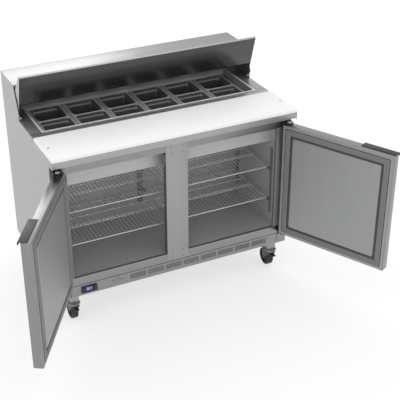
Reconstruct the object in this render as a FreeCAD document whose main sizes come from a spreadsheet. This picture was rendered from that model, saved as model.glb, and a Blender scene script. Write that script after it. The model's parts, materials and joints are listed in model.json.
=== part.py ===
import FreeCAD, Part
import math
import os
import re
import Sketcher

# Two-door refrigerated sandwich prep table, 48 inch wide, millimetres, +Z up.
# The origin is on the floor at the middle of the cabinet's back, and the front faces -Y.

doc = FreeCAD.newDocument("SandwichPrepTable")
sheet = doc.addObject("Spreadsheet::Sheet", "Dims")

drivingSizes = {
    # overall cabinet
    "tableWide": 1219.0, "skin": 1.5, "frameFront": 671.0, "noseFront": 721.5, "sideLow": 176.0,
    "hoodTop": 1061.0, "hoodDeep": 206.0, "hoodFoot": 257.0, "hoodFootLevel": 931.0,
    # work deck, board and pan well
    "deckLevel": 898.0, "ledgeLevel": 890.3, "boardThick": 17.3, "boardRear": 472.0,
    "noseLow": 860.6, "noseSideLow": 857.0, "wellHalf": 545.0, "wellFront": 408.0,
    "wellRear": 88.0, "panLevel": 868.0, "ledgeWide": 15.0, "columnPitch": 176.7,
    "panWide": 170.0, "panDeep": 155.0, "panHeight": 100.0, "panWall": 1.2, "panLip": 5.0, "panSideLip": 11.0, "barWide": 22.0,
    # front frame
    "openHalf": 532.0, "openLow": 251.5, "openHigh": 801.0, "mullionHalf": 56.0,
    "sillLow": 207.0, "baseLow": 148.6, "gussetInner": 557.0,
    # inside
    "linerHalf": 541.0, "linerRear": 240.0, "wellTank": 758.0, "ductLevel": 701.0, "ductFront": 594.0,
    "shelfLow": 385.0, "shelfHigh": 560.0, "shelfFront": 602.0, "wire": 5.0, "fineWire": 3.0,
    # doors
    "doorWide": 588.0, "doorThick": 45.0, "doorLow": 222.0, "doorHigh": 828.5,
    "gasketGap": 6.0, "doorEdge": 604.0, "hingeAcross": 582.0, "hingeForward": 703.0,
    "handleLong": 176.0, "handleReach": 12.0, "leftDoorOpen": 121.6, "rightDoorOpen": 117.1, "hingePin": 5.0,
    # lid
    "lidOpen": 72.5, "pivotBack": 249.0, "pivotLevel": 910.0, "lidHalf": 606.3, "pivotPin": 4.0,
    # casters
    "wheelRadius": 46.0, "wheelWide": 32.0, "casterHigh": 110.0, "casterOffset": 35.0,
    "casterAcross": 536.0, "casterFront": 647.0, "casterRear": 100.0, "axleRadius": 5.0,
    "runClear": 0.05,
}
for row, (alias, value) in enumerate(drivingSizes.items(), start=1):
    sheet.set(f"A{row}", alias)
    sheet.set(f"B{row}", str(value))
    sheet.setAlias(f"B{row}", alias)
doc.recompute()

aliasWord = re.compile(r"\b(" + "|".join(drivingSizes) + r")\b")


def bound(text):
    """Turn a formula on size names into an expression on the sheet's cells."""
    return aliasWord.sub(r"Dims.\1", str(text))


def size(name):
    return float(getattr(sheet, name))


def place(item, corner):
    for axis, formula in zip("xyz", corner):
        item.setExpression(f"Placement.Base.{axis}", bound(formula))
    return item


def block(name, lengths, corner):
    """A box from its three lengths and its lowest corner."""
    item = doc.addObject("Part::Box", name)
    for prop, formula in zip(("Length", "Width", "Height"), lengths):
        item.setExpression(prop, bound(formula))
    return place(item, corner)


turned = {
    "x": FreeCAD.Rotation(FreeCAD.Vector(0, 1, 0), 90),
    "y": FreeCAD.Rotation(FreeCAD.Vector(1, 0, 0), -90),
    "z": FreeCAD.Rotation(),
}


def rod(name, radius, length, start, along="z"):
    """A cylinder that starts at a point and runs along an axis."""
    item = doc.addObject("Part::Cylinder", name)
    item.Placement = FreeCAD.Placement(FreeCAD.Vector(), turned[along])
    item.setExpression("Radius", bound(radius))
    item.setExpression("Height", bound(length))
    return place(item, start)


def cut(name, base, tool):
    item = doc.addObject("Part::Cut", name)
    item.Base = base
    item.Tool = tool
    return item


def fuse(name, pieces):
    item = doc.addObject("Part::MultiFuse", name)
    item.Shapes = pieces
    item.Refine = True
    return item


def group(name, pieces):
    """Separate identical pieces that share one node."""
    item = doc.addObject("Part::Compound", name)
    item.Links = pieces
    return item


def rounded(name, base, radius, picks):
    """Round the edges of a base that pick(edge) chooses."""
    doc.recompute()
    item = doc.addObject("Part::Fillet", name)
    item.Base = base
    chosen = [i + 1 for i, edge in enumerate(base.Shape.Edges) if picks(edge)]
    item.Edges = [(i, size(radius) if radius in drivingSizes else radius,
                   size(radius) if radius in drivingSizes else radius) for i in chosen]
    return item


def runsAlong(axis):
    """Pick straight edges that run along X, Y or Z."""
    way = {"x": FreeCAD.Vector(1, 0, 0), "y": FreeCAD.Vector(0, 1, 0), "z": FreeCAD.Vector(0, 0, 1)}[axis]

    def test(edge):
        if not isinstance(edge.Curve, Part.Line):
            return False
        return abs(edge.tangentAt(edge.FirstParameter).dot(way)) > 0.999
    return test


def outline(body, plane, points, offset="0"):
    """A closed sketch on one of the body's planes; each corner is held by two sizes."""
    sketch = body.newObject("Sketcher::SketchObject", body.Name + "Outline")
    base = [f for f in body.Origin.OriginFeatures if f.Role == plane][0]
    sketch.AttachmentSupport = [(base, "")]
    sketch.MapMode = "FlatFace"
    sketch.setExpression("AttachmentOffset.Base.z", bound(offset))
    values = [[sheetValue(a), sheetValue(b)] for a, b in points]
    count = len(points)
    for i in range(count):
        first = FreeCAD.Vector(*values[i], 0)
        last = FreeCAD.Vector(*values[(i + 1) % count], 0)
        sketch.addGeometry(Part.LineSegment(first, last), False)
    for i in range(count):
        sketch.addConstraint(Sketcher.Constraint("Coincident", i, 2, (i + 1) % count, 1))
    for i, (across, up) in enumerate(points):
        for kind, formula, value in (("DistanceX", across, values[i][0]), ("DistanceY", up, values[i][1])):
            number = sketch.addConstraint(Sketcher.Constraint(kind, -1, 1, i, 1, value))
            sketch.setExpression(f"Constraints[{number}]", bound(formula))
    return sketch


def sheetValue(formula):
    """The present value of a formula on size names."""
    probe = doc.getObject("Probe") or doc.addObject("App::FeaturePython", "Probe")
    if not hasattr(probe, "Value"):
        probe.addProperty("App::PropertyFloat", "Value")
    return float(probe.evalExpression(bound(formula)))


def pad(name, plane, points, length, offset="0", both=False):
    """A body padded from an outline, one way or to both sides of its plane."""
    body = doc.addObject("PartDesign::Body", name)
    sketch = outline(body, plane, points, offset)
    feature = body.newObject("PartDesign::Pad", name + "Pad")
    feature.Profile = sketch
    feature.setExpression("Length", bound(length))
    feature.Midplane = both
    sketch.Visibility = False
    return body


def pocket(body, plane, points, length, both=True, offset="0"):
    sketch = outline(body, plane, points, offset)
    feature = body.newObject("PartDesign::Pocket", body.Name + "Pocket")
    feature.Profile = sketch
    feature.setExpression("Length", bound(length))
    feature.Midplane = both
    return body


nodes = []


def node(name, item):
    """Hand a finished piece over under its own node name."""
    item.Label = name
    nodes.append((name, item))
    return item


# ---------------------------------------------------------------- cabinet skins
def sidePanel(name, inner):
    """One cabinet side with the hood's end in the same sheet."""
    profile = [
        ("0", "sideLow"), ("0", "hoodTop"), ("-hoodDeep", "hoodTop"), ("-hoodFoot", "hoodFootLevel"),
        ("-hoodFoot + 4", "deckLevel"), ("-boardRear + 0.2", "deckLevel"), ("-boardRear + 0.2", "noseSideLow"),
        ("-frameFront", "noseSideLow"), ("-frameFront", "sideLow"),
    ]
    plate = pad(name, "YZ_Plane", profile, "skin", offset=inner)
    pocketPin = rod(name + "PinHole", "pivotPin + runClear", "skin + 2", (f"{inner} - 1", "-pivotBack", "pivotLevel"), "x")
    return cut(name + "Drilled", plate, pocketPin)


node("left_side_panel", sidePanel("LeftSide", "-tableWide / 2"))
node("right_side_panel", sidePanel("RightSide", "tableWide / 2 - skin"))
node("back_panel", block("BackPanel", ("tableWide - 2 * skin", "skin", "hoodTop - skin - sideLow"),
                         ("-tableWide / 2 + skin", "-skin", "sideLow")))


def hoodCover():
    """The fixed hood's flat top with a short lip turned down along its front edge."""
    top = block("HoodTopPlate", ("tableWide - 2 * skin", "hoodDeep", "skin"),
                ("-tableWide / 2 + skin", "-hoodDeep", "hoodTop - skin"))
    lip = block("HoodTopLip", ("tableWide - 2 * skin", "skin", "14"),
                ("-tableWide / 2 + skin", "-hoodDeep", "hoodTop - skin - 14"))
    return fuse("HoodTop", [top, lip])


node("hood_cover", hoodCover())
node("hood_back_wall", block("HoodBackWall", ("tableWide - 2 * skin", "skin", "hoodTop - skin - panLevel"),
                             ("-tableWide / 2 + skin", "-wellRear", "panLevel")))


def edgeTrim(name, inner):
    """A black strip on the slanting front edge of the hood's end."""
    rise = "(hoodTop - hoodFootLevel)"
    lean = "(hoodFoot - hoodDeep)"
    low = "(hoodFootLevel + 1)"
    high = "(hoodTop - 12)"
    atLow = f"-hoodFoot + {lean} * ({low} - hoodFootLevel) / {rise}"
    atHigh = f"-hoodFoot + {lean} * ({high} - hoodFootLevel) / {rise}"
    profile = [(f"{atLow} - 0.1", low), (f"{atHigh} - 0.1", high), (f"{atHigh} - 6", high), (f"{atLow} - 6", low)]
    return pad(name, "YZ_Plane", profile, "2.4", offset=inner)


node("hood_edge_trims", group("HoodTrims", [
    edgeTrim("LeftTrim", "-tableWide / 2"), edgeTrim("RightTrim", "tableWide / 2 - 2.4")]))


# ---------------------------------------------------------------- deck, board and pan well
def deck():
    """One bent sheet: pan deck, step down to the board's ledge, nose and its end returns."""
    profile = [
        ("-wellRear - 0.2", "deckLevel - skin"), ("-wellRear - 0.2", "deckLevel"),
        ("-boardRear", "deckLevel"), ("-boardRear", "ledgeLevel"), ("-noseFront", "ledgeLevel"),
        ("-noseFront", "noseLow"), ("-noseFront + 22", "noseLow"), ("-noseFront + 22", "noseLow + skin"),
        ("-noseFront + skin", "noseLow + skin"), ("-noseFront + skin", "ledgeLevel - skin"),
        ("-boardRear + skin", "ledgeLevel - skin"), ("-boardRear + skin", "deckLevel - skin"),
    ]
    sheetBody = pad("DeckSheet", "YZ_Plane", profile, "tableWide - 2 * skin - 0.4", both=True)
    opening = block("DeckOpening", ("2 * wellHalf", "wellFront - wellRear + 2", "30"),
                    ("-wellHalf", "-wellFront", "deckLevel - 20"))
    ends = [block("NoseEnd" + side, ("skin", "noseFront - boardRear - 0.2", "ledgeLevel - noseSideLow"),
                  (start, "-noseFront", "noseSideLow"))
            for side, start in (("Left", "-tableWide / 2"), ("Right", "tableWide / 2 - skin"))]
    caps = [block("NoseCap" + side, ("0.4", "noseFront - boardRear - 0.2", "ledgeLevel - noseLow"),
                  (start, "-noseFront", "noseLow"))
            for side, start in (("Left", "-tableWide / 2 + skin - 0.1"), ("Right", "tableWide / 2 - skin - 0.3"))]
    tops = [cut("DeckCut", sheetBody, opening)]
    tops += ends
    tops += caps
    return fuse("DeckWhole", tops)


node("deck", deck())


def cuttingBoard():
    plate = block("BoardBlank", ("tableWide", "noseFront - boardRear", "boardThick"),
                  ("-tableWide / 2", "-noseFront", "ledgeLevel"))
    holes = [rod(f"BoardPegHole{tag}", "4.25", "3", (f"{sign} * 584.6", "-602", "ledgeLevel + boardThick - 2.4"))
             for tag, sign in (("L", -1), ("R", 1))]
    return cut("BoardBored", rounded("Board", plate, 2.0, lambda edge: True), group("BoardPegHoles", holes))


node("cutting_board", cuttingBoard())


def panRail():
    """The well's walls, the ledge the pans hang on, its top bead and the middle cross bar."""
    outer = block("RailOuter", ("2 * wellHalf", "wellFront - wellRear", "deckLevel - panLevel + skin"),
                  ("-wellHalf", "-wellFront", "panLevel - skin"))
    inner = block("RailInner", ("2 * wellHalf - 2 * skin", "wellFront - wellRear", "60"),
                  ("-wellHalf + skin", "-wellFront + skin", "panLevel"))
    hole = block("RailHole", ("2 * wellHalf - 2 * ledgeWide", "wellFront - wellRear - 2 * 7", "60"),
                 ("-wellHalf + ledgeWide", "-wellFront + 7", "panLevel - 30"))
    walls = cut("RailWalls", cut("RailTray", outer, inner), hole)
    bead = block("RailBead", ("2 * wellHalf + 16", "wellFront - wellRear + 8", "2.2"),
                 ("-wellHalf - 8", "-wellFront - 8", "deckLevel"))
    beadHole = block("RailBeadHole", ("2 * wellHalf - 2 * skin", "wellFront - wellRear + 60", "9"),
                     ("-wellHalf + skin", "-wellFront + skin", "deckLevel - 3"))
    cross = block("CrossBar", ("2 * wellHalf - 2 * ledgeWide + 2", "10", "12"),
                  ("-wellHalf + ledgeWide - 1", "-(wellFront + wellRear) / 2 - 5", "panLevel - 12"))
    return fuse("Rail", [walls, cut("RailBeadRing", bead, beadHole), cross])


node("pan_rail", panRail())
node("divider_bars", group("Bars", [
    block(f"Bar{i}", ("barWide", "wellFront - wellRear - 6", "2.0"),
          (f"{i - 3} * columnPitch - barWide / 2", "-wellFront + 3", "panLevel"))
    for i in range(1, 6)]))


def pan(name, centreX, centreY):
    """A sixth-size pan: rim, rounded tub and hollow."""
    rimLevel = "panLevel + 2.2"
    rim = rounded(name + "Rim", block(name + "RimBlank", ("panWide", "panDeep", "2.0"),
                  (f"{centreX} - panWide / 2", f"{centreY} - panDeep / 2", rimLevel)), 8.0, runsAlong("z"))
    tubWide, tubDeep = "(panWide - 2 * panSideLip)", "(panDeep - 2 * panLip)"
    tub = rounded(name + "Tub", block(name + "TubBlank", (tubWide, tubDeep, "panHeight"),
                  (f"{centreX} - {tubWide} / 2", f"{centreY} - {tubDeep} / 2", f"{rimLevel} + 1 - panHeight")),
                  20.0, runsAlong("z"))
    hollow = rounded(name + "Hollow", block(name + "HollowBlank",
                     (f"{tubWide} - 2 * panWall", f"{tubDeep} - 2 * panWall", "panHeight + 5"),
                     (f"{centreX} - {tubWide} / 2 + panWall", f"{centreY} - {tubDeep} / 2 + panWall",
                      f"{rimLevel} + 1 - panHeight + panWall")), 18.8, runsAlong("z"))
    return cut(name, fuse(name + "Solid", [rim, tub]), hollow)


rowCentres = {
    "front_pans": "-(wellFront + wellRear) / 2 - panDeep / 2 - 1",
    "rear_pans": "-(wellFront + wellRear) / 2 + panDeep / 2 + 1",
}
for rowName, centreY in rowCentres.items():
    node(rowName, group(rowName + "Row", [
        pan(f"{rowName}{i}", f"{i - 3.5} * columnPitch", centreY) for i in range(1, 7)]))

# ---------------------------------------------------------------- front frame
frameDeep = "14"
node("top_rail", block("TopRail", ("tableWide - 2 * skin", frameDeep, "noseLow - openHigh - 0.5"),
                       ("-tableWide / 2 + skin", "-frameFront", "openHigh")))
node("side_jambs", group("Jambs", [
    block(jambName, ("tableWide / 2 - skin - openHalf", frameDeep, "openHigh - openLow"),
          (start, "-frameFront", "openLow"))
    for jambName, start in (("LeftJamb", "-tableWide / 2 + skin"), ("RightJamb", "openHalf"))]))
node("sill", block("Sill", ("tableWide - 2 * skin", frameDeep, "openLow - sillLow"),
                   ("-tableWide / 2 + skin", "-frameFront", "sillLow")))


def mullion():
    """The centre post between the doors, with a thin face plate lapped over both rails."""
    post = block("MullionPost", ("2 * mullionHalf", "30", "openHigh - openLow"),
                 ("-mullionHalf", "-frameFront", "openLow"))
    plate = block("MullionPlate", ("2 * mullionHalf", "1.0", "openHigh - openLow + 76"),
                  ("-mullionHalf", "-frameFront - 1.0", "openLow - 40"))
    return fuse("Mullion", [post, plate])


node("mullion", mullion())


def louverPanel():
    """The removable base panel with eight louvered windows."""
    plate = block("LouverPlate", ("2 * gussetInner - 2", "skin", "sillLow - baseLow - 1"),
                  ("-gussetInner + 1", "-frameFront", "baseLow"))
    flange = block("LouverFlange", ("2 * gussetInner - 2", "10", "skin"),
                   ("-gussetInner + 1", "-frameFront", "baseLow"))
    body = fuse("LouverBody", [plate, flange])
    slots = []
    for i in range(8):
        for j in range(4):
            slots.append(block(f"Slot{i}_{j}", ("83", "6", "3.6"),
                               (f"-255 + 95 * {i}", "-frameFront - 2", f"baseLow + 19.6 + 7.2 * {j}")))
    return cut("LouverPanel", body, group("LouverSlots", slots))


node("louver_panel", louverPanel())


def gusset(name, start):
    """An end corner of the base: a front plate with a short return."""
    across = "tableWide / 2 - skin - gussetInner"
    front = block(name + "Front", (across, "skin", "sillLow - baseLow - 0.5"), (start, "-frameFront", "baseLow"))
    back = block(name + "Return", (across, "50", "skin"), (start, "-frameFront", "sideLow - skin - 1"))
    return fuse(name, [front, back])


node("corner_gussets", group("Gussets", [
    gusset("LeftGusset", "-tableWide / 2 + skin"), gusset("RightGusset", "gussetInner")]))


# ---------------------------------------------------------------- inside of the cabinet
def liner():
    """The storage tank, open at the front and the top; its upper part runs back under the rear pans."""
    top = "panLevel - skin - 0.5"
    lowOuter = block("LinerOuter", ("2 * linerHalf + 2 * skin", "frameFront - linerRear - 14.2 + skin",
                                    f"{top} - openLow + skin"),
                     ("-linerHalf - skin", "-frameFront + 14.2", "openLow - skin"))
    highOuter = block("WellOuter", ("2 * linerHalf + 2 * skin", "frameFront - wellRear - 14.2 - 3",
                                    f"{top} - wellTank + skin"),
                      ("-linerHalf - skin", "-frameFront + 14.2", "wellTank - skin"))
    lowInner = block("LinerInner", ("2 * linerHalf", "frameFront - linerRear", "900"),
                     ("-linerHalf", "-frameFront", "openLow"))
    highInner = block("WellInner", ("2 * linerHalf", "frameFront - wellRear - 3 - skin", "300"),
                      ("-linerHalf", "-frameFront", "wellTank"))
    shell = fuse("LinerSolid", [lowOuter, highOuter])
    return cut("Liner", shell, fuse("LinerHollow", [lowInner, highInner]))


node("interior_liner", liner())


def foam():
    """Foamed-in insulation between the skins and the tank, with the machine space left out."""
    blank = block("FoamBlank", ("tableWide - 2 * skin - 1", "frameFront - 14.4 - skin - 0.4",
                                "panLevel - skin - 1 - sideLow - skin"),
                  ("-tableWide / 2 + skin + 0.5", "-frameFront + 14.4", "sideLow + skin + 0.2"))
    tank = block("FoamTank", ("2 * linerHalf + 2 * skin + 0.4", "frameFront - linerRear + skin + 0.2", "900"),
                 ("-linerHalf - skin - 0.2", "-frameFront", "openLow - skin - 0.2"))
    well = block("FoamWell", ("2 * linerHalf + 2 * skin + 0.4", "frameFront - wellRear - 3 + 0.2", "300"),
                 ("-linerHalf - skin - 0.2", "-frameFront", "wellTank - skin - 0.2"))
    machines = block("FoamMachines", ("2 * linerHalf", "linerRear - 50", "330"),
                     ("-linerHalf", "-linerRear + 40", "sideLow - 1"))
    return cut("Foam", cut("FoamShell", blank, fuse("FoamHollow", [tank, well])), machines)


node("cabinet_foam", foam())


def evaporatorCover():
    """The dropped ceiling under the pans: front face and bottom plate."""
    front = block("DuctFront", ("2 * linerHalf - 2", "skin", "760 - ductLevel"),
                  ("-linerHalf + 1", "-ductFront", "ductLevel"))
    bottom = block("DuctBottom", ("2 * linerHalf - 2", "ductFront - linerRear", "skin"),
                   ("-linerHalf + 1", "-ductFront", "ductLevel"))
    throat = rod("DuctThroat", "78", "6", ("0", "-(ductFront + linerRear) / 2", "ductLevel - 2"))
    return cut("Duct", fuse("DuctPlates", [front, bottom]), throat)


node("evaporator_cover", evaporatorCover())
node("evaporator_coil", block("EvaporatorCoil", ("420", "60", "46"), ("-480", "-linerRear - 64", "ductLevel + skin")))


def fanRotor(name, centre, radius, blades, along):
    """A bored hub with flat pitched blades, built upright and then laid along its axis."""
    hubLong = 16
    hub = rod(name + "Hub", 0.3 * radius, hubLong, ("0", "0", "0"))
    bladesMade = []
    for i in range(blades):
        blade = block(f"{name}Blade{i}", (0.78 * radius, 0.42 * radius, "1.6"), ("0", "0", "0"))
        pitch = FreeCAD.Placement(FreeCAD.Vector(0, 0, hubLong / 2), FreeCAD.Rotation(FreeCAD.Vector(1, 0, 0), 22))
        shift = FreeCAD.Placement(FreeCAD.Vector(0.2 * radius, -0.21 * radius, -0.8), FreeCAD.Rotation())
        spin = FreeCAD.Placement(FreeCAD.Vector(), FreeCAD.Rotation(FreeCAD.Vector(0, 0, 1), 360 * i / blades))
        for axis in "xyz":
            blade.setExpression(f"Placement.Base.{axis}", None)
        blade.Placement = spin * pitch * shift
        bladesMade.append(blade)
    bore = rod(name + "Bore", "3 + runClear", hubLong + 4, ("0", "0", "-2"))
    rotor = doc.addObject("Part::Compound", name)
    rotor.Links = [cut(name + "Rotor", fuse(name + "Solid", [hub] + bladesMade), bore)]
    rotor.Placement = FreeCAD.Placement(FreeCAD.Vector(*centre), turned[along])
    return rotor


ductMid = -(size("ductFront") + size("linerRear")) / 2
node("evaporator_fan", fanRotor("EvaporatorFan", (0, ductMid, size("ductLevel") + 6), 70, 5, "z"))
node("evaporator_motor", fuse("EvaporatorMotor", [
    rod("EvaporatorMotorShaft", "3", "22", ("0", "-(ductFront + linerRear) / 2", "ductLevel + 4")),
    rod("EvaporatorMotorCan", "22", "26", ("0", "-(ductFront + linerRear) / 2", "ductLevel + 26")),
    block("EvaporatorMotorBridge", ("200", "14", "4"),
          ("-100", "-(ductFront + linerRear) / 2 - 7", "ductLevel + 52")),
    *[block(f"EvaporatorMotorLeg{i}", ("4", "14", "52 - skin"),
            (start, "-(ductFront + linerRear) / 2 - 7", "ductLevel + skin"))
      for i, start in enumerate(("-100", "96"))]]))


def shelf(name, left, right, level):
    """A coated wire shelf: front rail, two long runners, cross wires and fine wires."""
    depth = "(shelfFront - linerRear - 12)"
    pieces = []
    for tag, back in (("Front", "-shelfFront"), ("MiddleA", "-shelfFront + 150"), ("MiddleB", "-shelfFront + 165"),
                      ("Inner", "-shelfFront + 235"), ("Rear", "-linerRear - 16")):
        pieces.append(block(name + tag, (f"{right} - {left}", "wire", "wire"), (left, back, level)))
    for tag, start in (("LeftEnd", left), ("RightEnd", f"{right} - wire")):
        pieces.append(block(name + tag, ("wire", depth, "wire"), (start, "-shelfFront", level)))
    span = sheetValue(f"{right} - {left}")
    count = int(span // 19)
    for i in range(1, count):
        start = f"{left} + {i} * ({right} - {left}) / {count} - fineWire / 2"
        pieces.append(block(f"{name}Wire{i}", ("fineWire", depth, "fineWire"),
                            (start, "-shelfFront", f"{level} + wire - 1")))
    return fuse(name, pieces)


bays = {"Left": ("-linerHalf + 6", "-12"), "Right": ("12", "linerHalf - 6")}
node("wire_shelves", group("Shelves", [
    shelf(f"{side}Shelf{tag}", start, end, level) for side, (start, end) in bays.items()
    for tag, level in (("Low", "shelfLow"), ("High", "shelfHigh"))]))


def pilaster(name, corner, lengths):
    """A slotted shelf upright with its clips under both shelves."""
    return block(name, lengths, corner)


uprights = []
clips = []
for side, sign in (("Left", -1), ("Right", 1)):
    for tag, back in (("Front", "-shelfFront - 28"), ("Rear", "-linerRear - 46")):
        start = "-linerHalf" if sign < 0 else "linerHalf - 3"
        uprights.append(pilaster(f"Upright{side}{tag}", (start, back, "openLow + 60"),
                                 ("3", "22", "ductLevel - openLow - 90")))
        for level in ("shelfLow", "shelfHigh"):
            clipStart = "-linerHalf + 3" if sign < 0 else "linerHalf - 15"
            clips.append(block(f"Clip{side}{tag}{level}", ("12", "28", "6"),
                               (clipStart, f"{back} + 4" if tag == "Front" else back, f"{level} - 6")))
uprights.append(pilaster("UprightCentre", ("-27", "-linerRear - 3", "openLow + 60"),
                         ("30", "3", "ductLevel - openLow - 90")))
for level in ("shelfLow", "shelfHigh"):
    clips.append(block(f"ClipCentre{level}", ("40", "14", "6"), ("-20", "-linerRear - 17", f"{level} - 6")))
node("shelf_supports", group("Supports", uprights + clips))

# ---------------------------------------------------------------- refrigeration behind the cabinet
machineFloor = "sideLow + skin"
node("compressor", fuse("Compressor", [
    rod("CompressorCan", "78", "150", ("330", "-105", f"{machineFloor} + 14")),
    block("CompressorFeet", ("170", "150", "14"), ("245", "-180", machineFloor))]))
node("condenser_coil", block("CondenserCoil", ("300", "44", "210"), ("-330", "-185", machineFloor)))
node("condenser_motor", fuse("CondenserMotor", [
    rod("CondenserShaft", "3", "26", ("-180", "-110", f"{machineFloor} + 110"), "y"),
    rod("CondenserCan", "30", "40", ("-180", "-84", f"{machineFloor} + 110"), "y"),
    block("CondenserPost", ("24", "20", "100"), ("-192", "-74", machineFloor))]))
node("condenser_fan", fanRotor("CondenserFan", (-180, -108, size("sideLow") + size("skin") + 110), 88, 5, "y"))
node("power_inlet", rod("PowerInlet", "11", "14", ("470", "0", "230"), "y"))

node("base_plate", fuse("BasePlate", [
    block("BasePlateSheet", ("tableWide - 2 * skin", "frameFront - 17", "skin"),
          ("-tableWide / 2 + skin", "-frameFront + 15", "sideLow")),
    *[block(f"Channel{side}", ("42", "frameFront - 31", "sideLow - casterHigh"),
            (start, "-frameFront + 11", "casterHigh"))
      for side, start in (("Left", "-casterAcross - 21"), ("Right", "casterAcross - 21"))]]))

# ---------------------------------------------------------------- controls
bezelLeft, bezelLow = "-504", "baseLow + 12"
node("controller_bezel", cut("Bezel", block("BezelBlank", ("80", "6.5", "36"),
     (bezelLeft, "-frameFront - 6.5", bezelLow)), group("BezelHoles", [
         block("BezelWindow", ("42", "5", "22"), (f"{bezelLeft} + 18", "-frameFront - 7", f"{bezelLow} + 8")),
         *[block(f"KeyHole{i}", ("7", "12", "6"), (f"{bezelLeft} + 66", "-frameFront - 8",
                 f"{bezelLow} + {6 + 16 * i}")) for i in range(2)]])))
node("controller_display", block("Display", ("41.6", "2", "21.6"),
     (f"{bezelLeft} + 18.2", "-frameFront - 4", f"{bezelLow} + 8.2")))
for i, keyName in enumerate(("down_key", "up_key")):
    node(keyName, block(keyName, ("6.4", "5", "5.4"), (f"{bezelLeft} + 66.3", "-frameFront - 8",
                                                       f"{bezelLow} + {6.3 + 16 * i}")))


# ---------------------------------------------------------------- doors
def doorFrameOf(sign):
    """Placement that swings a door built closed about its hinge line to its open rest pose."""
    angle = size("leftDoorOpen") if sign < 0 else size("rightDoorOpen")
    line = FreeCAD.Vector(sign * size("hingeAcross"), -size("hingeForward"), 0)
    return FreeCAD.Placement(FreeCAD.Vector(), FreeCAD.Rotation(FreeCAD.Vector(0, 0, 1), sign * angle), line)


def swung(item, sign):
    """Swing every solid that makes up a door piece."""
    holder = doc.addObject("Part::Compound", item.Name + "Swung")
    holder.Links = [item]
    holder.Placement = doorFrameOf(sign)
    return holder


def doorBox(name, sign, inset, across, outer, thick, low, high):
    """A box in door space: inset from the hinge edge, across, distance behind the outer face."""
    left = f"-doorEdge + ({inset})" if sign < 0 else f"doorEdge - ({inset}) - ({across})"
    front = f"-frameFront - gasketGap - doorThick + {outer}"
    return block(name, (across, thick, f"({high}) - ({low})"), (left, front, low))


def doorSkin(side, sign):
    """The outer pan of a door: face, four returns and sleeves for the hinge pins."""
    blank = doorBox(side + "SkinBlank", sign, "0", "doorWide", "0", "doorThick", "doorLow", "doorHigh")
    outerFace = -size("frameFront") - size("gasketGap") - size("doorThick")
    blank = rounded(side + "SkinRound", blank, 5.0, lambda edge: runsAlong("z")(edge) and (
        edge.CenterOfMass.y < outerFace + 1 or sign * edge.CenterOfMass.x > size("doorEdge") - 1))
    hollow = doorBox(side + "SkinHollow", sign, "skin", "doorWide - 2 * skin", "skin", "doorThick",
                     "doorLow + skin", "doorHigh - skin")
    shell = cut(side + "SkinShell", blank, hollow)
    x = f"{sign} * hingeAcross"
    sleeves = [rod(f"{side}Sleeve{i}", "hingePin + 4", "20", (x, "-hingeForward", low))
               for i, low in enumerate(("doorLow", "doorHigh - 20"))]
    bores = group(side + "Bores", [rod(f"{side}Bore{i}", "hingePin + runClear", "24", (x, "-hingeForward", low))
                                   for i, low in enumerate(("doorLow - 2", "doorHigh - 22"))])
    return cut(side + "DoorSkin", fuse(side + "SkinSleeved", [shell] + sleeves), bores)


def doorLiner(side, sign):
    """The inner pan, a plate with a raised middle field."""
    plate = doorBox(side + "LinerPlate", sign, "4", "doorWide - skin - 4.2", "doorThick - 1.6", "1.5",
                    "doorLow + skin + 0.2", "doorHigh - skin - 0.2")
    field = doorBox(side + "LinerField", sign, "60", "doorWide - 120", "doorThick - 0.2", "4",
                    "doorLow + 60", "doorHigh - 60")
    field = rounded(side + "LinerFieldRound", field, 4.0, runsAlong("y"))
    return fuse(side + "DoorLiner", [plate, field])


def doorGasket(side, sign):
    """The magnetic gasket, a soft square ring round the inner pan."""
    outer = doorBox(side + "GasketOuter", sign, "20", "doorWide - 40", "doorThick", "gasketGap - 1.4",
                    "doorLow + 20", "doorHigh - 20")
    inner = doorBox(side + "GasketInner", sign, "46", "doorWide - 92", "doorThick - 2", "gasketGap + 4",
                    "doorLow + 46", "doorHigh - 46")
    return cut(side + "Gasket", outer, inner)


def doorHandle(side, sign):
    """A black pull strip on the door's top edge at the free end, with its lip turned down in front."""
    cap = doorBox(side + "HandleCap", sign, "doorWide - handleLong", "handleLong", "-handleReach", "handleReach + 28",
                  "doorHigh + 0.1", "doorHigh + 3.5")
    lip = doorBox(side + "HandleLip", sign, "doorWide - handleLong", "handleLong", "-handleReach", "3",
                  "doorHigh - 12", "doorHigh + 3.5")
    return fuse(side + "Handle", [cap, lip])


for side, sign in (("Left", -1), ("Right", 1)):
    low = side.lower()
    node(f"{low}_door_skin", swung(doorSkin(side, sign), sign))
    node(f"{low}_door_liner", swung(doorLiner(side, sign), sign))
    node(f"{low}_door_gasket", swung(doorGasket(side, sign), sign))
    node(f"{low}_door_handle", swung(doorHandle(side, sign), sign))


def hingeBracket(name, sign, top):
    """A plate fixed to the frame that reaches forward and holds the door's pin."""
    x = f"{sign} * hingeAcross"
    level = "doorHigh + 1" if top else "doorLow - 7"
    left = f"{x} - 20"
    arm = block(name + "Arm", ("40", "hingeForward - frameFront + 12", "6"),
                (left, "-hingeForward - 12", level))
    foot = block(name + "Foot", ("40", "4", "20"), (left, "-frameFront - 4", level if top else f"{level} - 14"))
    pin = rod(name + "Pin", "hingePin", "24", (x, "-hingeForward", "doorHigh - 16" if top else "doorLow - 6"))
    cap = rod(name + "Cap", "11", "2", (x, "-hingeForward", f"{level} + 6" if top else f"{level} - 2"))
    return fuse(name, [arm, foot, pin, cap])


node("hinge_brackets", group("Brackets", [
    hingeBracket(f"Bracket{level}{side}", sign, level == "Top")
    for level in ("Top", "Bottom") for side, sign in (("Left", -1), ("Right", 1))]))


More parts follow.
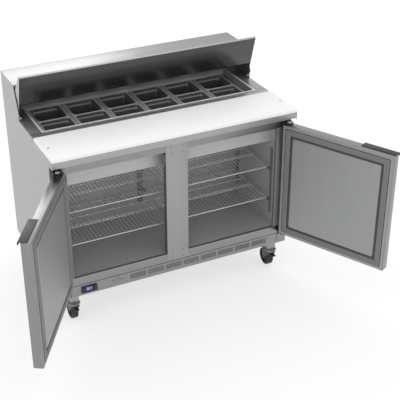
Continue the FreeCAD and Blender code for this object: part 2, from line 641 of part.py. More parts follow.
# ---------------------------------------------------------------- lid
def lidPlaced(item):
    """Tip a lid piece, built shut with the pivot at its origin, up to the open rest pose."""
    item.Placement = FreeCAD.Placement(
        FreeCAD.Vector(0, -size("pivotBack"), size("pivotLevel")),
        FreeCAD.Rotation(FreeCAD.Vector(1, 0, 0), -size("lidOpen")))
    return item


def lidSkin():
    """The lid's folded sheet: sloping top, front lip and two cheeks that run back to the pivot."""
    profile = [("-228.5", "7"), ("-229", "19"), ("37", "129"), ("-62", "22"), ("9.5", "9.5"),
               ("9.5", "-6.5"), ("6.5", "-9.5"), ("-9.5", "-9.5"), ("-24", "7")]
    body = pad("LidSkin", "YZ_Plane", profile, "2 * lidHalf", both=True)
    pocket(body, "YZ_Plane", [("-227", "-30"), ("-227", "18.2"), ("60", "136.9"), ("60", "-30")],
           "2 * lidHalf - 2 * skin")
    hole = body.newObject("Sketcher::SketchObject", "LidPinHoles")
    hole.AttachmentSupport = [([f for f in body.Origin.OriginFeatures if f.Role == "YZ_Plane"][0], "")]
    hole.MapMode = "FlatFace"
    hole.addGeometry(Part.Circle(FreeCAD.Vector(), FreeCAD.Vector(0, 0, 1), size("pivotPin") + size("runClear")), False)
    number = hole.addConstraint(Sketcher.Constraint("Radius", 0, size("pivotPin") + size("runClear")))
    hole.setExpression(f"Constraints[{number}]", bound("pivotPin + runClear"))
    hole.addConstraint(Sketcher.Constraint("Coincident", 0, 3, -1, 1))
    bore = body.newObject("PartDesign::Pocket", "LidPinBore")
    bore.Profile = hole
    bore.setExpression("Length", bound("2 * lidHalf + 10"))
    bore.Midplane = True
    return lidPlaced(body)


node("lid_skin", lidSkin())
node("lid_liner", lidPlaced(pad("LidLiner", "YZ_Plane", [
    ("-226.8", "7.2"), ("-74.5", "7.2"), ("35.6", "125.0"), ("34.2", "125.9"), ("-75.3", "8.8"), ("-226.8", "8.8")],
    "2 * lidHalf - 2 * skin - 0.4", both=True)))
node("lid_pivot_pins", group("LidPins", [
    rod("LidPinLeft", "pivotPin", "12", ("-tableWide / 2", "-pivotBack", "pivotLevel"), "x"),
    rod("LidPinRight", "pivotPin", "12", ("tableWide / 2 - 12", "-pivotBack", "pivotLevel"), "x")]))


# ---------------------------------------------------------------- casters
def caster(tag, sign, back, brake):
    """A swivel caster: fork with axle, wheel and, at the front, a brake pedal."""
    x = f"{sign} * casterAcross"
    wheelY = f"{back} + casterOffset"
    forkTop = "casterHigh - 10"
    crown = rod(f"{tag}Crown", "26", "4", (x, back, f"{forkTop} - 4"))
    bridge = block(f"{tag}Bridge", ("wheelWide + 10", "72", "3"),
                   (f"{x} - wheelWide / 2 - 5", f"{back} - 20", f"{forkTop} - 6.5"))
    plates = []
    for side, start in (("In", f"{x} - wheelWide / 2 - 5"), ("Out", f"{x} + wheelWide / 2 + 2")):
        plates.append(pad(f"{tag}Plate{side}", "YZ_Plane", [
            (f"{back} - 20", f"{forkTop} - 4"), (f"{back} + 52", f"{forkTop} - 4"),
            (f"{wheelY} + 16", "wheelRadius - 12"), (f"{wheelY} - 12", "wheelRadius - 12"),
            (f"{back} - 20", f"{forkTop} - 26")], "3", offset=start))
    axle = rod(f"{tag}Axle", "axleRadius", "wheelWide + 12", (f"{x} - wheelWide / 2 - 6", wheelY, "wheelRadius"), "x")
    stem = rod(f"{tag}Stem", "8", "6", (x, back, forkTop))
    solids = [crown, bridge, axle, stem] + plates
    pinY, pinLevel = f"{back} - 13", "casterHigh - 27"
    if brake:
        solids.append(rod(f"{tag}PedalPin", "2.5", "wheelWide + 8",
                          (f"{x} - wheelWide / 2 - 4", pinY, pinLevel), "x"))
    node(f"{tag}_caster_fork", fuse(f"{tag}Fork", solids))
    tread = rounded(f"{tag}Tread", rod(f"{tag}TreadBlank", "wheelRadius", "wheelWide",
                    (f"{x} - wheelWide / 2", wheelY, "wheelRadius"), "x"), 5.0,
                    lambda edge: not isinstance(edge.Curve, Part.Line))
    bore = rod(f"{tag}WheelBore", "axleRadius + runClear", "wheelWide + 4",
               (f"{x} - wheelWide / 2 - 2", wheelY, "wheelRadius"), "x")
    node(f"{tag}_caster_wheel", cut(f"{tag}Wheel", tread, bore))
    if brake:
        arm = block(f"{tag}PedalArm", ("22", "30", "4"), (f"{x} - 11", f"{pinY} - 32", f"{pinLevel} - 2"))
        hub = rod(f"{tag}PedalHub", "5", "30", (f"{x} - 15", pinY, pinLevel), "x")
        through = rod(f"{tag}PedalBore", "2.5 + runClear", "34", (f"{x} - 17", pinY, pinLevel), "x")
        node(f"{tag}_brake_pedal", cut(f"{tag}Pedal", fuse(f"{tag}PedalSolid", [arm, hub]), through))


mountPlates = []
for tag, sign, back, brake in (("front_left", -1, "-casterFront", True), ("front_right", 1, "-casterFront", True),
                               ("rear_left", -1, "-casterRear", False), ("rear_right", 1, "-casterRear", False)):
    caster(tag, sign, back, brake)
    x = f"{sign} * casterAcross"
    plate = block(f"{tag}MountPlate", ("50", "68", "4"), (f"{x} - 25", f"{back} - 20", "casterHigh - 4"))
    race = rod(f"{tag}MountRace", "28", "6", (x, back, "casterHigh - 9.7"))
    well = rod(f"{tag}MountWell", "8 + runClear", "7.2", (x, back, "casterHigh - 10.7"))
    mountPlates.append(cut(f"{tag}Mount", fuse(f"{tag}MountSolid", [plate, race]), well))
node("caster_mounts", group("CasterMounts", mountPlates))


# ---------------------------------------------------------------- small fasteners
def screw(name, x, face, z, along="y"):
    """A low round head."""
    return rod(name, "4.2", "2.2", (x, face, z), along)


screws = []
for sideTag, x in (("L", "-28"), ("R", "28")):
    for i, z in enumerate(("825", "790.6", "261", "222.6")):
        screws.append(screw(f"MullionScrew{sideTag}{i}", x, "-frameFront - 3.2", z))
for i, (x, z) in enumerate((("-512", "baseLow + 31"), ("-414", "baseLow + 18"), ("500", "baseLow + 46"))):
    screws.append(screw(f"BaseScrew{i}", x, "-frameFront - 2.2", z))
for sideTag, sign in (("L", -1), ("R", 1)):
    screws.append(screw(f"BoardPeg{sideTag}", f"{sign} * 584.6", "-602", "ledgeLevel + boardThick - 2.3", "z"))
node("panel_screws", group("PanelScrews", screws))

# ---------------------------------------------------------------- check and write
probe = doc.getObject("Probe")
doc.removeObject(probe.Name)
doc.recompute()
for item in doc.Objects:
    if {"Invalid", "Error"} & set(item.State):
        raise RuntimeError(f"{item.Name} did not build: {item.State}")
os.makedirs("parts", exist_ok=True)
for name, item in nodes:
    shape = item.Shape
    if shape.isNull() or not shape.isValid() or not shape.Solids:
        raise RuntimeError(f"{name} has no valid solid")
    shape.exportStep(f"parts/{name}.step")
print(len(nodes), "nodes written")
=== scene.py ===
import bpy
import bmesh
import json
import math
import random
from mathutils import Matrix, Vector


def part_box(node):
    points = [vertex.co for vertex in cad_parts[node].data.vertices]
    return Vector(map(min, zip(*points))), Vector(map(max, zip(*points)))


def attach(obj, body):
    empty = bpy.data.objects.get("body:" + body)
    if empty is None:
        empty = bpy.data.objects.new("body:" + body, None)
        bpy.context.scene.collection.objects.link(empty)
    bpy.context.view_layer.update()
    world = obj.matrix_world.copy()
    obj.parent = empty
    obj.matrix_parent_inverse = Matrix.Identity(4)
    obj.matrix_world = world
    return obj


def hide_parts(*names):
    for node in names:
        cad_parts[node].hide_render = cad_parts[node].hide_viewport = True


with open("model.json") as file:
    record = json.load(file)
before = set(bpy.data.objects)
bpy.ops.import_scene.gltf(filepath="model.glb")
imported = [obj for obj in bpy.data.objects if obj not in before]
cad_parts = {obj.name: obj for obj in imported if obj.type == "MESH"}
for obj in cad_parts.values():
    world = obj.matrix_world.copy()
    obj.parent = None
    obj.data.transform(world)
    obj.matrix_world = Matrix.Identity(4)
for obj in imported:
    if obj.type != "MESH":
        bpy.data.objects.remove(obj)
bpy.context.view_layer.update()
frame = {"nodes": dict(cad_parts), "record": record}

mm = 0.001
random.seed(11)
print("frame loaded")


class Link:
    def __init__(self, tree, socket):
        self.tree = tree
        self.socket = socket

    def sum(self, operation, first, second):
        maths = self.tree.nodes.new("ShaderNodeMath")
        maths.operation = operation
        for place, item in enumerate((first, second)):
            plug(self.tree, maths.inputs[place], item)
        return Link(self.tree, maths.outputs[0])

    def __add__(self, other):
        return self.sum("ADD", self, other)

    def __radd__(self, other):
        return self.sum("ADD", other, self)

    def __sub__(self, other):
        return self.sum("SUBTRACT", self, other)

    def __rsub__(self, other):
        return self.sum("SUBTRACT", other, self)

    def __mul__(self, other):
        return self.sum("MULTIPLY", self, other)

    def __rmul__(self, other):
        return self.sum("MULTIPLY", other, self)


def plug(tree, socket, item):
    if isinstance(item, Link):
        tree.links.new(item.socket, socket)
    else:
        socket.default_value = item


class Finish:
    def __init__(self, name, **fixed):
        self.material = bpy.data.materials.new(name)
        self.material.use_nodes = True
        self.tree = self.material.node_tree
        self.tree.nodes.clear()
        output = self.tree.nodes.new("ShaderNodeOutputMaterial")
        self.shader = self.tree.nodes.new("ShaderNodeBsdfPrincipled")
        self.tree.links.new(self.shader.outputs[0], output.inputs["Surface"])
        for socket, value in fixed.items():  # numbers that are the same all over
            self.shader.inputs[socket.replace("_", " ")].default_value = value

    def node(self, kind, settings=None, inputs=None, output=0):
        made = self.tree.nodes.new(kind)
        for key, value in (settings or {}).items():
            if key == "stops":
                for place, (position, colour) in enumerate(value):
                    while len(made.color_ramp.elements) <= place:
                        made.color_ramp.elements.new(1.0)
                    made.color_ramp.elements[place].position = position
                    made.color_ramp.elements[place].color = colour
            else:
                setattr(made, key, value)
        for key, value in (inputs or {}).items():
            plug(self.tree, made.inputs[key], value)
        return Link(self.tree, made.outputs[output])

    def feed(self, socket, item):
        plug(self.tree, self.shader.inputs[socket], item)

    def place(self, scale, turn=0.0):  # object coordinates in metres, stretched
        where = self.node("ShaderNodeTexCoord", output=3)
        turned = self.node("ShaderNodeMapping", {}, {"Vector": where, "Rotation": (0, 0, turn)})
        return self.node("ShaderNodeMapping", {}, {"Vector": turned, "Scale": scale})

    def noise(self, scale, detail=3.0, rough=0.55, turn=0.0):
        return self.node("ShaderNodeTexNoise", {}, {
            "Vector": self.place(scale, turn), "Scale": 1.0, "Detail": detail, "Roughness": rough})

    def blend(self, factor, first, second):
        return self.node("ShaderNodeMix", {"data_type": "RGBA"}, {0: factor, 6: first, 7: second}, output=2)

    def fit(self, item, low, high, toLow=0.0, toHigh=1.0):
        return self.node("ShaderNodeMapRange", {"clamp": True}, {
            0: item, 1: low, 2: high, 3: toLow, 4: toHigh})

    def bump(self, height, strength, distance):
        self.feed("Normal", self.node("ShaderNodeBump", {}, {
            "Height": height, "Strength": strength, "Distance": distance}))


def grey(value, warm=0.0):
    return (value * (1 + warm), value, value * (1 - warm), 1.0)


grainScales = {"x": (3.0, 420.0, 420.0), "z": (420.0, 420.0, 3.0)}
streakScales = {"x": (1.1, 46.0, 46.0), "z": (46.0, 46.0, 1.1)}


def brushedSteel(name, tone, along, rough=0.3, turn=0.0, warm=0.0, smudge=0.5, worn=0.12,
                 metallic=1.0):
    steel = Finish(name, Metallic=metallic, Anisotropic=0.35)
    grain = steel.noise(grainScales[along], 2.0, 0.6, turn)
    streak = steel.noise(streakScales[along], 2.0, 0.5, turn)
    cloud = steel.noise((2.3, 2.3, 2.3), 3.0, 0.6)
    wiped = steel.fit(steel.noise((6.0, 6.0, 9.0), 4.0, 0.65), 0.52, 0.74)
    shade = 0.55 * grain + 0.3 * streak + 0.15 * cloud
    dull = grey(tone * (1 - worn), warm)
    bright = grey(tone * (1 + worn), warm)
    steel.feed("Base Color", steel.blend(shade, dull, bright))
    steel.feed("Roughness", rough - 0.06 + 0.09 * grain + 0.06 * cloud + 0.05 * smudge * wiped)
    steel.bump(grain, 0.06, 0.0004)
    return steel.material


def mouldedPlastic(name, colour, rough, grainSize=900.0, grainHeight=0.05, scuff=0.35):
    plastic = Finish(name, Specular_IOR_Level=0.45)
    grain = plastic.noise((grainSize,) * 3, 2.0, 0.5)
    cloud = plastic.noise((14.0, 14.0, 14.0), 3.0, 0.6)
    rubbed = plastic.fit(plastic.noise((38.0, 38.0, 60.0), 4.0, 0.7), 0.55, 0.8)
    pale = tuple(min(1.0, c * 1.35 + 0.012) for c in colour[:3]) + (1.0,)
    mixed = plastic.blend(0.25 * cloud + scuff * 0.5 * rubbed, colour, pale)
    plastic.feed("Base Color", mixed)
    plastic.feed("Roughness", rough - 0.05 + 0.1 * cloud + 0.12 * scuff * rubbed)
    plastic.bump(grain, grainHeight, 0.0003)
    return plastic.material


def boardPlastic(name):
    board = Finish(name, Specular_IOR_Level=0.4, Subsurface_Weight=0.04)
    cloud = board.noise((5.0, 5.0, 5.0), 3.0, 0.6)
    nickA = board.fit(board.noise((16.0, 640.0, 60.0), 3.0, 0.6, 0.5), 0.63, 0.72)
    nickB = board.fit(board.noise((20.0, 700.0, 60.0), 3.0, 0.6, -0.8), 0.64, 0.73)
    cuts = nickA + nickB
    pebble = board.noise((900.0, 900.0, 900.0), 2.0, 0.5)
    shade = board.blend(cloud, grey(0.84), grey(0.885))
    board.feed("Base Color", board.blend(0.1 * cuts, shade, grey(0.62, 0.02)))
    board.feed("Roughness", 0.46 + 0.08 * cloud + 0.1 * cuts)
    board.bump(0.4 * pebble - 0.8 * cuts, 0.12, 0.0004)
    return board.material


def paintedSteel(name, colour, rough=0.4, metallic=0.0, chips=0.25):
    paint = Finish(name, Metallic=metallic, Specular_IOR_Level=0.5)
    peel = paint.noise((420.0, 420.0, 420.0), 2.0, 0.5)
    cloud = paint.noise((9.0, 9.0, 9.0), 3.0, 0.6)
    dust = paint.fit(paint.noise((30.0, 30.0, 44.0), 4.0, 0.7), 0.56, 0.8)
    dusty = tuple(c * 0.7 + 0.06 for c in colour[:3]) + (1.0,)
    paint.feed("Base Color", paint.blend(0.2 * cloud + chips * dust, colour, dusty))
    paint.feed("Roughness", rough - 0.04 + 0.1 * cloud + 0.15 * dust)
    paint.bump(peel, 0.05, 0.0004)
    return paint.material


def foamFinish(name):
    foam = Finish(name)
    cells = foam.node("ShaderNodeTexVoronoi", {}, {"Vector": foam.place((260.0,) * 3), "Scale": 1.0})
    foam.feed("Base Color", foam.blend(cells, (0.78, 0.7, 0.45, 1), (0.9, 0.84, 0.62, 1)))
    foam.feed("Roughness", 0.8 + 0.1 * cells)
    foam.bump(cells, 0.4, 0.001)
    return foam.material


def finnedCoil(name):
    coil = Finish(name, Metallic=1.0)
    fins = coil.node("ShaderNodeTexWave", {"bands_direction": "X"}, {
        "Vector": coil.place((1.0, 1.0, 1.0)), "Scale": 80.0, "Distortion": 0.15, "Detail": 1.0})
    coil.feed("Base Color", coil.blend(fins, grey(0.2), grey(0.75)))
    coil.feed("Roughness", 0.3 + 0.15 * fins)
    coil.bump(fins, 0.8, 0.002)
    return coil.material


def glowingDigits(name):
    digits = Finish(name, Emission_Strength=1.6)
    cloud = digits.noise((300.0,) * 3, 2.0, 0.5)
    digits.feed("Base Color", digits.blend(cloud, (0.16, 0.14, 0.55, 1), (0.24, 0.22, 0.75, 1)))
    digits.feed("Emission Color", digits.blend(cloud, (0.22, 0.2, 0.85, 1), (0.4, 0.38, 1.0, 1)))
    digits.feed("Roughness", 0.3 + 0.1 * cloud)
    return digits.material


steelX = brushedSteel("steelGrainAcross", 0.29, "x")
steelZ = brushedSteel("steelGrainUpright", 0.345, "z", 0.32)
sideSteel = brushedSteel("sideSteel", 0.4, "z", 0.36)
# jamb steel with a darker tone than the other front steel: painted shade for the doors' contact shadow and
# the dark reflections on the jambs
jambSteelPaintedShade = brushedSteel("jambSteelPaintedShade", 0.22, "z", 0.5, metallic=0.7)
hoodSteel = brushedSteel("hoodTopSteel", 0.34, "x", 0.36)
deckSteel = brushedSteel("deckSteel", 0.38, "x", 0.3, metallic=0.75)
wellSteel = brushedSteel("wellSteel", 0.3, "x", 0.34, metallic=0.5)
barSteel = brushedSteel("barSteel", 0.44, "x", 0.36, metallic=0.4)
# near-white steel for a band over the pan rail's top edge: painted highlight
beadSteel = brushedSteel("beadSteel", 0.8, "x", 0.34, metallic=0.3)
# pan rims and pan tubs are one steel: the rims get a lighter tone as a painted highlight, the tubs a much
# darker one as painted shade inside the pans
rimSteelPaintedHighlight = brushedSteel("panRimSteelPaintedHighlight", 0.62, "x", 0.3, metallic=0.45)
panSteelPaintedShade = brushedSteel("foodPanSteelPaintedShade", 0.18, "z", 0.32, warm=0.01, metallic=0.6)
lidSteel = brushedSteel("lidSteel", 0.45, "x", 0.3)
# the lid's inner steel, far darker than its outer skin: painted shade and dark reflection on the underside of
# the raised lid
lidInsidePaintedShade = brushedSteel("lidInnerSteelPaintedShade", 0.095, "x", 0.24, metallic=0.85, worn=0.3)
linerSteel = brushedSteel("tankSteel", 0.46, "x", 0.38, metallic=0.4)
postSteel = brushedSteel("postSteel", 0.26, "z", 0.4, metallic=0.6)
galvanised = brushedSteel("galvanisedSteel", 0.36, "x", 0.46, smudge=1.0, worn=0.2)
zincSteel = brushedSteel("zincPlatedSteel", 0.24, "z", 0.42, worn=0.2, metallic=0.6)
doorOpen = {-1: -121.6, 1: 117.1}
doorSteel = {side: brushedSteel("doorSteel" + tag, 0.27, "z", 0.28, math.radians(-doorOpen[side]))
             for side, tag in ((-1, "Left"), (1, "Right"))}
doorInner = brushedSteel("doorInnerPan", 0.32, "z", 0.42, warm=-0.012, metallic=0.5)
# near-white, mostly diffuse turned steel for hinge caps and pins and pivot pins: their own bright metal,
# partly a painted highlight in place of their glint
brightSteelPaintedHighlight = brushedSteel("turnedSteelPaintedHighlight", 0.88, "z", 0.3, metallic=0.3)
screwMetal = brushedSteel("screwHeadSteel", 0.3, "z", 0.3)
wireCoat = paintedSteel("wireCoating", grey(0.68), 0.3, 0.35, 0.1)
gasketRubber = mouldedPlastic("gasketRubber", grey(0.17), 0.55, 700.0, 0.08)
# near-black rubber for rings in the gasket folds: painted shade in the creases
gasketPaintedShade = mouldedPlastic("gasketFold", grey(0.05), 0.6, 700.0, 0.08)
blackPlastic = mouldedPlastic("handlePlastic", grey(0.028), 0.42, 800.0, 0.12)
panelPlastic = mouldedPlastic("panelPlastic", grey(0.012), 0.3, 800.0, 0.06, 0.15)
trimPlastic = mouldedPlastic("trimPlastic", grey(0.035), 0.5)
blackSteel = paintedSteel("blackPaintedSteel", grey(0.02), 0.38)
wheelRubber = mouldedPlastic("wheelRubber", grey(0.014), 0.55, 500.0, 0.15, 0.5)
boardWhite = boardPlastic("cuttingBoardPlastic")
foamCore = foamFinish("foamedInsulation")
coilFins = finnedCoil("finnedCoil")
digitGlow = glowingDigits("displayDigits")
print("finishes ready")


planes = {"yz": (1, 2, 0), "xz": (0, 2, 1), "xy": (0, 1, 2)}


def inPlane(plane, across, up, depth):
    spot = [0.0, 0.0, 0.0]
    first, second, third = planes[plane]
    spot[first] = across
    spot[second] = up
    spot[third] = depth
    return Vector(spot)


def arcCorners(points, radii, steps=4, closed=True):
    # the same outline with its corners turned into arcs
    result = []
    count = len(points)
    for place in range(count):
        here = Vector(points[place])
        radius = radii[place] if isinstance(radii, (list, tuple)) else radii
        if not closed and place in (0, count - 1):
            result.append(here)
            continue
        before = Vector(points[place - 1]) - here
        after = Vector(points[(place + 1) % count]) - here
        if radius <= 0:
            result.append(here)
            continue
        angle = before.angle(after)
        reach = radius / math.tan(angle / 2)
        reach = min(reach, before.length * 0.49, after.length * 0.49)
        radius = reach * math.tan(angle / 2)
        start = here + before.normalized() * reach
        end = here + after.normalized() * reach
        middle = before.normalized() + after.normalized()
        if middle.length < 1e-6:
            result.append(here)
            continue
        centre = here + middle.normalized() * (radius / math.sin(angle / 2))
        for step in range(steps + 1):
            ratio = step / steps
            toward = (start - centre).lerp(end - centre, ratio)
            result.append(centre + toward.normalized() * radius)
    return result


def sheetOutline(path, thickness, bend=2.5, steps=4):
    # a bent sheet's closed section from the line of its outer face
    line = arcCorners(path, bend, steps, closed=False)
    inside = []
    for place, spot in enumerate(line):
        before = line[max(place - 1, 0)]
        after = line[min(place + 1, len(line) - 1)]
        along = (after - before).normalized()
        inside.append(spot + Vector((-along.y, along.x)) * thickness)
    return line + inside[::-1]


class Piece:
    def __init__(self):
        self.mesh = bmesh.new()

    def take(self, other):
        carrier = bpy.data.meshes.new("carrier")
        other.to_mesh(carrier)
        other.free()
        self.mesh.from_mesh(carrier)
        bpy.data.meshes.remove(carrier)

    def prism(self, outline, plane, low, high, soft=0.4, steps=2):
        work = bmesh.new()
        rows = [[work.verts.new(inPlane(plane, p[0], p[1], depth) * mm) for p in outline]
                for depth in (low, high)]
        count = len(outline)
        work.faces.new(rows[0][::-1])
        work.faces.new(rows[1])
        for place in range(count):
            after = (place + 1) % count
            work.faces.new((rows[0][place], rows[0][after], rows[1][after], rows[1][place]))
        bmesh.ops.recalc_face_normals(work, faces=work.faces)
        if soft > 0:
            sharp = [e for e in work.edges if e.is_manifold and e.calc_face_angle(0) > math.radians(28)]
            bmesh.ops.bevel(work, geom=sharp, offset=soft * mm, segments=steps, profile=0.5,
                            affect="EDGES", clamp_overlap=True)
        self.take(work)
        return self

    def box(self, low, high, soft=0.4, steps=2):
        outline = [(low[0], low[1]), (high[0], low[1]), (high[0], high[1]), (low[0], high[1])]
        return self.prism(outline, "xy", low[2], high[2], soft, steps)

    def tube(self, points, radius, sides=10, ends=True):
        work = bmesh.new()
        spots = [Vector(p) * mm for p in points]
        rings = []
        lastSide = None
        for place, spot in enumerate(spots):
            before = spots[max(place - 1, 0)]
            after = spots[min(place + 1, len(spots) - 1)]
            along = (after - before).normalized()
            side = along.orthogonal().normalized() if lastSide is None else \
                (lastSide - along * lastSide.dot(along)).normalized()
            lastSide = side
            other = along.cross(side)
            rings.append([work.verts.new(spot + (side * math.cos(a) + other * math.sin(a)) * radius * mm)
                          for a in [2 * math.pi * k / sides for k in range(sides)]])
        for first, second in zip(rings, rings[1:]):
            for k in range(sides):
                work.faces.new((first[k], first[(k + 1) % sides], second[(k + 1) % sides], second[k]))
        if ends:
            work.faces.new(rings[0][::-1])
            work.faces.new(rings[-1])
        bmesh.ops.recalc_face_normals(work, faces=work.faces)
        self.take(work)
        return self

    def turn(self, profile, centre, axis, steps=40):
        # a section of (radius, height) spun about an axis through centre
        work = bmesh.new()
        third = {"x": 0, "y": 1, "z": 2}[axis]
        first, second = [k for k in range(3) if k != third]
        rings = []
        for radius, height in profile:
            ring = []
            for k in range(steps if radius > 1e-6 else 1):
                angle = 2 * math.pi * k / steps
                spot = [0.0, 0.0, 0.0]
                spot[first] = radius * math.cos(angle)
                spot[second] = radius * math.sin(angle)
                spot[third] = height
                ring.append(work.verts.new((Vector(spot) + Vector(centre)) * mm))
            rings.append(ring)
        for low, high in zip(rings, rings[1:]):
            for k in range(steps):
                after = (k + 1) % steps
                corners = []
                for spot in (low[k % len(low)], low[after % len(low)],
                             high[after % len(high)], high[k % len(high)]):
                    if spot not in corners:
                        corners.append(spot)
                if len(corners) > 2:
                    work.faces.new(corners)
        bmesh.ops.recalc_face_normals(work, faces=work.faces)
        self.take(work)
        return self

    def loft(self, loops, capStart=True, capEnd=True):
        work = bmesh.new()
        rows = [[work.verts.new(Vector(p) * mm) for p in loop] for loop in loops]
        count = len(rows[0])
        for low, high in zip(rows, rows[1:]):
            for k in range(count):
                after = (k + 1) % count
                work.faces.new((low[k], low[after], high[after], high[k]))
        if capStart:
            work.faces.new(rows[0][::-1])
        if capEnd:
            work.faces.new(rows[-1])
        bmesh.ops.recalc_face_normals(work, faces=work.faces)
        self.take(work)
        return self

    def moved(self, matrix):
        bmesh.ops.transform(self.mesh, matrix=matrix, verts=self.mesh.verts)
        return self

    def done(self, name, body, finish, hides=(), slot=None, smooth=32):
        mesh = bpy.data.meshes.new(name)
        self.mesh.to_mesh(mesh)
        self.mesh.free()
        for face in mesh.polygons:
            face.use_smooth = True
        mesh.set_sharp_from_angle(angle=math.radians(smooth))
        mesh.materials.append(finish)
        made = bpy.data.objects.new(name, mesh)
        bpy.context.scene.collection.objects.link(made)
        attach(made, body)
        if hides:
            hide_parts(*hides)
        return made


def roundedLoop(x0, z0, x1, z1, radius, steps=5):
    corners = [(x0, z0), (x1, z0), (x1, z1), (x0, z1)]
    return arcCorners(corners, radius, steps)


def nodeBox(name):
    low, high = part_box(name)
    return [c / mm for c in low], [c / mm for c in high]


cameraSetup = {"spot": (-1.6505, -4.2435, 2.7489), "tilt": 60.68, "swing": -26.35, "lens": 86.0}
cameraData = bpy.data.cameras.new("viewCamera")
cameraData.lens = cameraSetup["lens"]
cameraData.sensor_width = 36.0
camera = bpy.data.objects.new("viewCamera", cameraData)
camera.location = cameraSetup["spot"]
camera.rotation_euler = (math.radians(cameraSetup["tilt"]), 0, math.radians(cameraSetup["swing"]))
bpy.context.scene.collection.objects.link(camera)
bpy.context.scene.camera = camera

lightSetup = {
    "sky": 1.0,
    "softboxes": [
        {"name": "backBox", "at": (0.4, 4.6, 3.3), "aim": (-0.3, -0.3, 0.9), "size": (2.4, 2.8), "power": 55},
        {"name": "topBox", "at": (0.3, -0.8, 4.6), "aim": (0, -0.5, 0.8), "size": (3.6, 3.0), "power": 14},
        {"name": "frontBox", "at": (-2.6, -4.6, 1.6), "aim": (0, -0.5, 0.5), "size": (2.6, 2.2), "power": 12},
    ],
}
world = bpy.data.worlds.new("studio")
world.use_nodes = True
bpy.context.scene.world = world
world.node_tree.nodes["Background"].inputs["Color"].default_value = (1, 1, 1, 1)
world.node_tree.nodes["Background"].inputs["Strength"].default_value = lightSetup["sky"]
for box in lightSetup["softboxes"]:
    lamp = bpy.data.lights.new(box["name"], "AREA")
    lamp.shape = "RECTANGLE"
    lamp.size, lamp.size_y = box["size"]
    lamp.energy = box["power"]
    holder = bpy.data.objects.new(box["name"], lamp)
    holder.location = box["at"]
    holder.rotation_euler = (Vector(box["aim"]) - Vector(box["at"])).to_track_quat("-Z", "Y").to_euler()
    bpy.context.scene.collection.objects.link(holder)
bpy.context.scene.view_settings.view_transform = "Standard"

floorMesh = bpy.data.meshes.new("studioFloor")
floorMesh.from_pydata([(-30, -30, 0), (30, -30, 0), (30, 30, 0), (-30, 30, 0)], [], [(0, 1, 2, 3)])
floor = bpy.data.objects.new("studioFloor", floorMesh)
floorFinish = Finish("studioFloorPaint", Roughness=0.9, Specular_IOR_Level=0.1, Emission_Strength=0.62,
                     Emission_Color=(1, 1, 1, 1))
floorFinish.feed("Base Color", floorFinish.blend(floorFinish.noise((0.6, 0.6, 0.6)), grey(0.37), grey(0.39)))
floorMesh.materials.append(floorFinish.material)
bpy.context.scene.collection.objects.link(floor)
print("studio ready")

nodeFinishes = {
    "cabinet_foam": foamCore, "evaporator_coil": coilFins, "condenser_coil": coilFins,
    "evaporator_motor": blackSteel, "condenser_motor": blackSteel, "compressor": blackSteel,
    "evaporator_fan": blackPlastic, "condenser_fan": blackPlastic, "power_inlet": blackPlastic,
    "base_plate": galvanised, "interior_liner": linerSteel, "evaporator_cover": linerSteel,
    "back_panel": galvanised, "hood_back_wall": wellSteel, "hood_edge_trims": trimPlastic,
    "shelf_supports": postSteel, "lid_pivot_pins": brightSteelPaintedHighlight, "caster_mounts": zincSteel,
    "lid_skin": lidSteel, "lid_liner": lidInsidePaintedShade, "left_side_panel": sideSteel, "right_side_panel": sideSteel,
    "hood_cover": hoodSteel, "deck": deckSteel, "pan_rail": wellSteel, "divider_bars": wellSteel,
    "top_rail": steelX, "side_jambs": jambSteelPaintedShade, "mullion": steelZ, "sill": steelX,
    "louver_panel": steelX, "corner_gussets": steelX, "hinge_brackets": blackSteel,
    "front_pans": panSteelPaintedShade, "rear_pans": panSteelPaintedShade, "cutting_board": boardWhite,
    "wire_shelves": wireCoat, "panel_screws": brightSteelPaintedHighlight, "controller_bezel": panelPlastic,
    "controller_display": panelPlastic, "up_key": blackPlastic, "down_key": blackPlastic,
}
for side, tag in ((-1, "left"), (1, "right")):
    nodeFinishes[tag + "_door_skin"] = doorSteel[side]
    nodeFinishes[tag + "_door_liner"] = doorInner
    nodeFinishes[tag + "_door_gasket"] = gasketRubber
    nodeFinishes[tag + "_door_handle"] = blackPlastic
for caster in ("front_left", "front_right", "rear_left", "rear_right"):
    nodeFinishes[caster + "_caster_fork"] = zincSteel
    nodeFinishes[caster + "_caster_wheel"] = wheelRubber
for caster in ("front_left", "front_right"):
    nodeFinishes[caster + "_brake_pedal"] = blackSteel
for name, finish in nodeFinishes.items():
    for slotUsed in frame["nodes"][name].material_slots:
        slotUsed.material = finish
print("frame nodes finished")

hood = {"top": 1061.0, "deep": 206.0, "lip": 14.0, "gauge": 1.5, "bend": 2.2}
sideShape = [(0, 176), (0, 1061), (-206, 1061), (-257, 931), (-253, 898), (-471.8, 898),
             (-471.8, 857), (-671, 857), (-671, 176)]
for tag in ("left", "right"):
    low, high = nodeBox(tag + "_side_panel")
    outline = arcCorners(sideShape, [0.5, 3, 3, 5, 3, 1, 1, 3, 3])
    Piece().prism(outline, "yz", low[0], high[0], 0.5).done(
        tag + "SideSheet", "cabinet", sideSteel, (tag + "_side_panel",), "satin_steel", 20)
low, high = nodeBox("hood_cover")
hoodLine = [(0, hood["top"]), (-hood["deep"], hood["top"]), (-hood["deep"], hood["top"] - hood["lip"])]
outline = sheetOutline(hoodLine, hood["gauge"], hood["bend"])
Piece().prism(outline, "yz", low[0], high[0], 0.3).done(
    "hoodTopSheet", "cabinet", hoodSteel, ("hood_cover",), "satin_steel")
print("hood and sides shaped")

